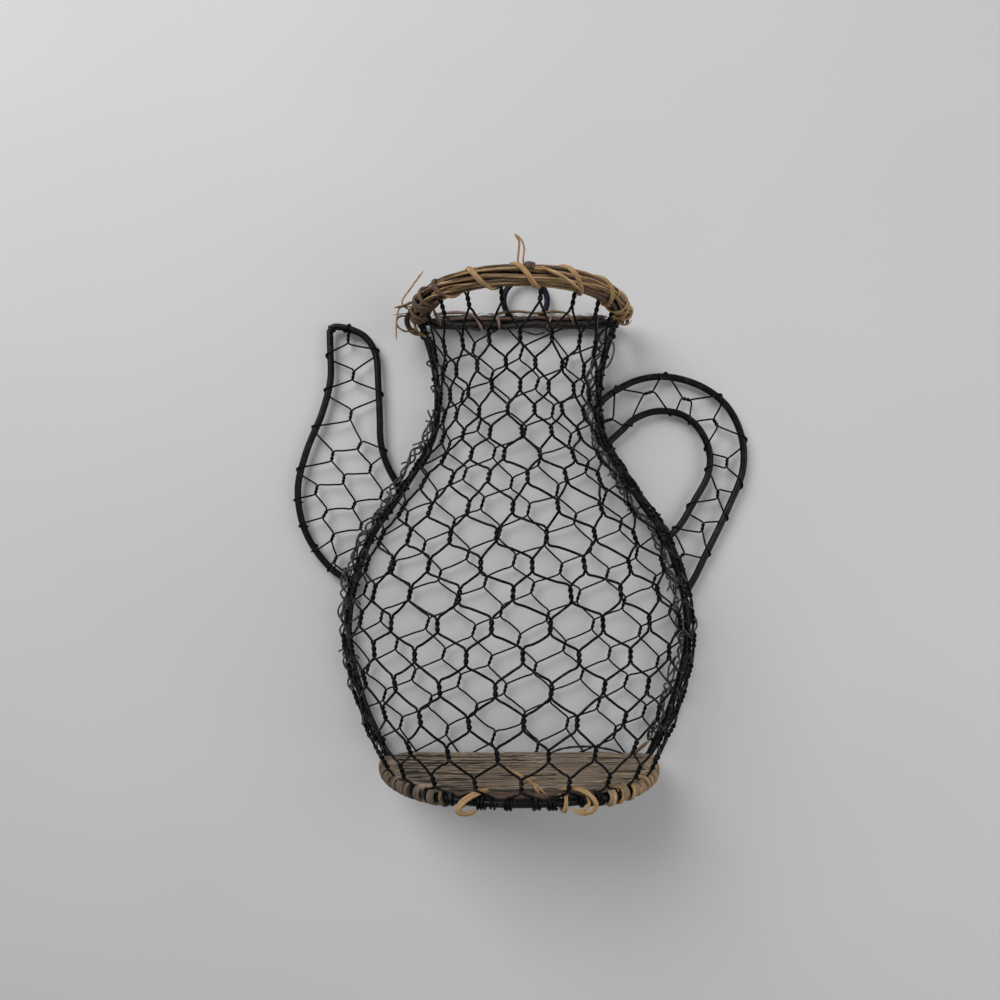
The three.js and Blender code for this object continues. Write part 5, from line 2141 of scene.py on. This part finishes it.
@dataclass
class BaseTrim:
    """Curled vine, tie wires and loose twigs at the front of the base."""

    shape: Shape
    tie_wire: float = 1.6
    tie_gap: float = 0.25
    tie_pitch: float = 1.9
    ties: Pairs = ((-22, 2.6), (-6.4, 1.8), (6.2, 0.9), (16.2, 2.2), (42, 2.4))
    curls_right: Pairs = ((49, 2.5), (54, 3), (60.5, 6))

    def coil(
        self, x: float, turns: float, offset: float, radius: float, pitch: float, seed: int,
        flat: float = 1.0, grow: float = 0.0, plant: bool = False,
    ) -> Strand:
        """Shapes turns round the base hoop.

        Args:
            x: Where their middle lies.
            turns: How many.
            offset: Distance of their middle line from the hoop's.
            radius: The wire's or vine's radius.
            pitch: How far they move along with each turn.
            seed: Picks their irregularity.
            flat: Thickness as a share of width.
            grow: How much further out the turns swing below the hoop.
            plant: Whether the ends are pointed.

        Returns:
            The coil.
        """
        hoop = self.shape.hoop(0)
        middle = self.shape.share_at(hoop, x)
        points = []
        steps = max(8, round(turns * 14))
        for i in range(steps + 1):
            t = i / steps
            angle = 360 * turns * (t - 0.5) - 90
            low = max(0.0, -math.sin(math.radians(angle)))
            share = middle - (t - 0.5) * turns * pitch / hoop.length
            points.append(around(hoop, share, offset + grow * low + 0.15 * math.sin(i * 1.3 + seed), angle))
        route = smooth(points, 0.9)
        middles = np.array([hoop.nearest(point).place for point in route])
        return Strand(route, radius, 10, rough=0.14 if plant else 0.0, flat=flat, facing=route - middles,
                      taper=3 if plant else 0, tone=np.full(len(route), 0.7) if plant else None, seed=seed)

    @staticmethod
    def strip(recipe: list[Triple], radius: float, flat: float, seed: int) -> Strand:
        """Shapes a flat strip of vine whose flat side faces away from its own middle.

        Args:
            recipe: The places that it passes.
            radius: Half its width.
            flat: Thickness as a share of width.
            seed: Picks its irregularity.

        Returns:
            The strip.
        """
        route = smooth(recipe, 0.9)
        middle = route.mean(axis=0)
        return Strand(route, radius, 12, rough=0.12, flat=flat, facing=route - middle, taper=4,
                      tone=np.full(len(route), 0.6), seed=seed)

    def build(self) -> None:
        """Builds the curls from left to right, the tie wires and the twigs."""
        curl = [(-18, -82, 4.2), (-20.5, -86, 4.8), (-24, -92, 5.6), (-29, -96.5, 4.2), (-33.4, -98, 0.6),
                (-34.6, -98.5, -2.5), (-31.4, -98, -4.2), (-27, -96.5, -3.9), (-24, -95, -3)]
        make_piece("base_curl_1", [self.strip(curl, 2.1, 0.6, 201)], FINISH.golden, ("base_vine_loop_1",))
        coil = self.coil(22.2, 1.2, 3.7, 1.15, 2.6, 202, grow=0.8, plant=True)
        make_piece("base_curl_2", [coil], FINISH.golden, ("base_vine_loop_2",))
        loop = [(21, -84, 5), (26, -90, 7.4), (32, -95, 7.8), (37, -98, 5.2), (39.4, -99, 0.8),
                (37, -98.4, -2.8), (32, -98.2, -3.6), (27, -97.4, -2)]
        inner = [(34.5, -93, 4), (36, -97, 1.6), (33, -98.2, -1.6), (28, -98, -2.6), (25.5, -97, -2)]
        strips = [self.strip(loop, 1.7, 0.7, 203), self.strip(inner, 1.1, 0.8, 207)]
        make_piece("base_curl_3", strips, FINISH.golden, ("base_vine_loop_3",))
        coils = [self.coil(x, 1.25, 4.0, 1.1, pitch, 204 + i, flat=0.8, grow=0.8, plant=True)
                 for i, (x, pitch) in enumerate(self.curls_right)]
        make_piece("base_curls_right", coils, FINISH.golden)
        offset = (self.shape.rod + self.tie_wire) / 2 + self.tie_gap
        for i, (x, turns) in enumerate(self.ties):
            coil = self.coil(x, turns, offset, self.tie_wire / 2, self.tie_pitch, 220 + i)
            make_piece(f"base_tie_{i + 1}", [coil], FINISH.wire, (f"base_tie_wire_{i + 1}",))
        self.build_twigs()

    def build_twigs(self) -> None:
        """Builds the loose forked twig on the floor, a stray strand behind it and a strip at the right."""
        main = [(-10.3, -40, 5.4), (-2.9, -57.6, 6), (4.5, -73, 6.2), (8, -83, 5.2), (10.1, -90, 3.4)]
        fork = [(2.5, -69, 6.2), (7.5, -79, 6.0), (13.2, -89.5, 3.8)]
        strands = [Strand(smooth(main, 1.2), 1.25, 10, rough=0.18, flat=0.7, taper=7, seed=230),
                   Strand(smooth(fork, 1.0), 0.8, 8, rough=0.18, taper=5, seed=231)]
        make_piece("floor_loose_twig", strands, FINISH.golden, ("floor_twig",))
        places = [(18, -8, 4.8), (30, -7, 8.5), (46, -6, 9.4), (60, -6, 7.5), (71, -7, 4.4)]
        stray = Strand(smooth(places, 1.5), 0.75, 8, rough=0.18, taper=8, seed=232)
        make_piece("floor_stray_strand", [stray], FINISH.dark)
        places = [(67, -20, 4), (72, -14, 4.8), (76.4, -10, 6.7), (81, -7, 9.5), (86.6, -5, 13)]
        strip = Strand(smooth(places, 1.2), 1.3, 10, rough=0.15, flat=0.5, taper=5, seed=233)
        make_piece("floor_strip", [strip], FINISH.brown)


@dataclass
class Studio:
    """The pale sheet that the basket's back lies against, the lamps, the world and the camera."""

    gap: float = 0.006
    size: float = 3.0
    tones: Pair = (0.66, 0.74)
    world_strength: float = 0.2
    ground: tuple[float, float, float, float] = (0.52, 0.525, 0.535, 1)
    eye: Triple = (-12.0, -500.0, 130.65)
    lens: float = 27.07
    shift: float = 0.062

    def build(self) -> None:
        """Builds everything that isn't the basket."""
        self.build_camera()
        self.build_sheet()
        self.build_world()
        self.lamp("key", (-0.7, -1.0, 1.0), 0.9, 14.0)
        self.lamp("fill", (0.9, -0.8, 0.1), 1.0, 5.0)

    def build_camera(self) -> None:
        """Places the camera where the photographer stood."""
        data = bpy.data.cameras.new("camera")
        data.lens = self.lens
        data.sensor_width = 36
        data.shift_y = self.shift
        data.clip_start = 0.01
        camera = bpy.data.objects.new("camera", data)
        camera.location = np.array(self.eye) * MM + vec(0, BACK_Y, BASE_Z)
        camera.rotation_euler = (math.radians(90), 0, 0)
        bpy.context.scene.collection.objects.link(camera)
        bpy.context.scene.camera = camera

    def build_sheet(self) -> None:
        """Builds the pale sheet, which shows only from the front."""
        half = self.size / 2
        y = BACK_Y + self.gap
        mesh = bpy.data.meshes.new("pale_sheet")
        corners = [(x, y, z) for x, z in ((-half, -half), (half, -half), (half, half), (-half, half))]
        mesh.from_pydata(corners, [], [(0, 1, 2, 3)])
        material = bpy.data.materials.new("pale_sheet")
        nodes = Nodes.of(material)
        place = nodes.add("ShaderNodeTexCoord").outputs["Object"]
        cloud = nodes.add("ShaderNodeTexNoise", {"Vector": place, "Scale": 4.0, "Detail": 2.0})
        dim, bright = ((tone, tone, tone * 1.01, 1) for tone in self.tones)
        colour = nodes.mix(cloud.outputs["Fac"], dim, bright)
        shader = nodes.add("ShaderNodeBsdfPrincipled", {"Base Color": colour, "Roughness": 0.95})
        clear = nodes.add("ShaderNodeBsdfTransparent")
        behind = nodes.add("ShaderNodeNewGeometry").outputs["Backfacing"]
        chosen = nodes.add("ShaderNodeMixShader", {0: behind, 1: shader.outputs[0], 2: clear.outputs[0]})
        nodes.add("ShaderNodeOutputMaterial", {"Surface": chosen.outputs[0]})
        mesh.materials.append(material)
        sheet = bpy.data.objects.new("pale_sheet", mesh)
        bpy.context.scene.collection.objects.link(sheet)

    def build_world(self) -> None:
        """Lights the basket evenly and shows a pale ground in the distance."""
        world = bpy.data.worlds.new("studio")
        nodes = Nodes.of(world)
        soft = nodes.add("ShaderNodeBackground", {"Color": (1, 1, 1, 1), "Strength": self.world_strength})
        seen = nodes.add("ShaderNodeBackground", {"Color": self.ground, "Strength": 1.0})
        path = nodes.add("ShaderNodeLightPath").outputs
        glossy = nodes.math("ADD", path["Is Glossy Ray"], path["Is Transmission Ray"])
        direct = nodes.math("ADD", path["Is Camera Ray"], glossy, clamp=True)
        chosen = nodes.add("ShaderNodeMixShader", {0: direct, 1: soft.outputs[0], 2: seen.outputs[0]})
        nodes.add("ShaderNodeOutputWorld", {"Surface": chosen.outputs[0]})
        bpy.context.scene.world = world

    def lamp(self, name: str, place: Triple, size: float, power: float) -> None:
        """Adds a soft square lamp that faces the basket.

        Args:
            name: The lamp's name.
            place: Where it is, in the frame's metres.
            size: Length of its sides in metres.
            power: Its power in watts.
        """
        data = bpy.data.lights.new(name, "AREA")
        data.size = size
        data.energy = power
        lamp = bpy.data.objects.new(name, data)
        lamp.location = place
        low, high = cad_box
        middle = (np.array(low) + np.array(high)) / 2
        away = np.array(place) - middle
        flat = math.hypot(away[0], away[1])
        lamp.rotation_euler = (math.atan2(flat, away[2]), 0, math.atan2(away[0], -away[1]))
        lamp.visible_camera = False
        bpy.context.scene.collection.objects.link(lamp)


def main() -> None:
    """Builds the studio and the basket."""
    logging.basicConfig(level=logging.INFO, format="%(message)s")
    bpy.context.scene.view_settings.view_transform = "Standard"
    shape = Shape()
    parts = [
        Studio(), Frame(shape), FrontNet(shape), BackNet(shape), spout_net(shape), handle_net(shape),
        Floor(shape), RimVines(shape), BackBarVines(shape), BaseTrim(shape),
    ]
    for part in parts:
        part.build()
        log.info("built %s", type(part).__name__)
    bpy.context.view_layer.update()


if __name__ == "__main__":
    main()
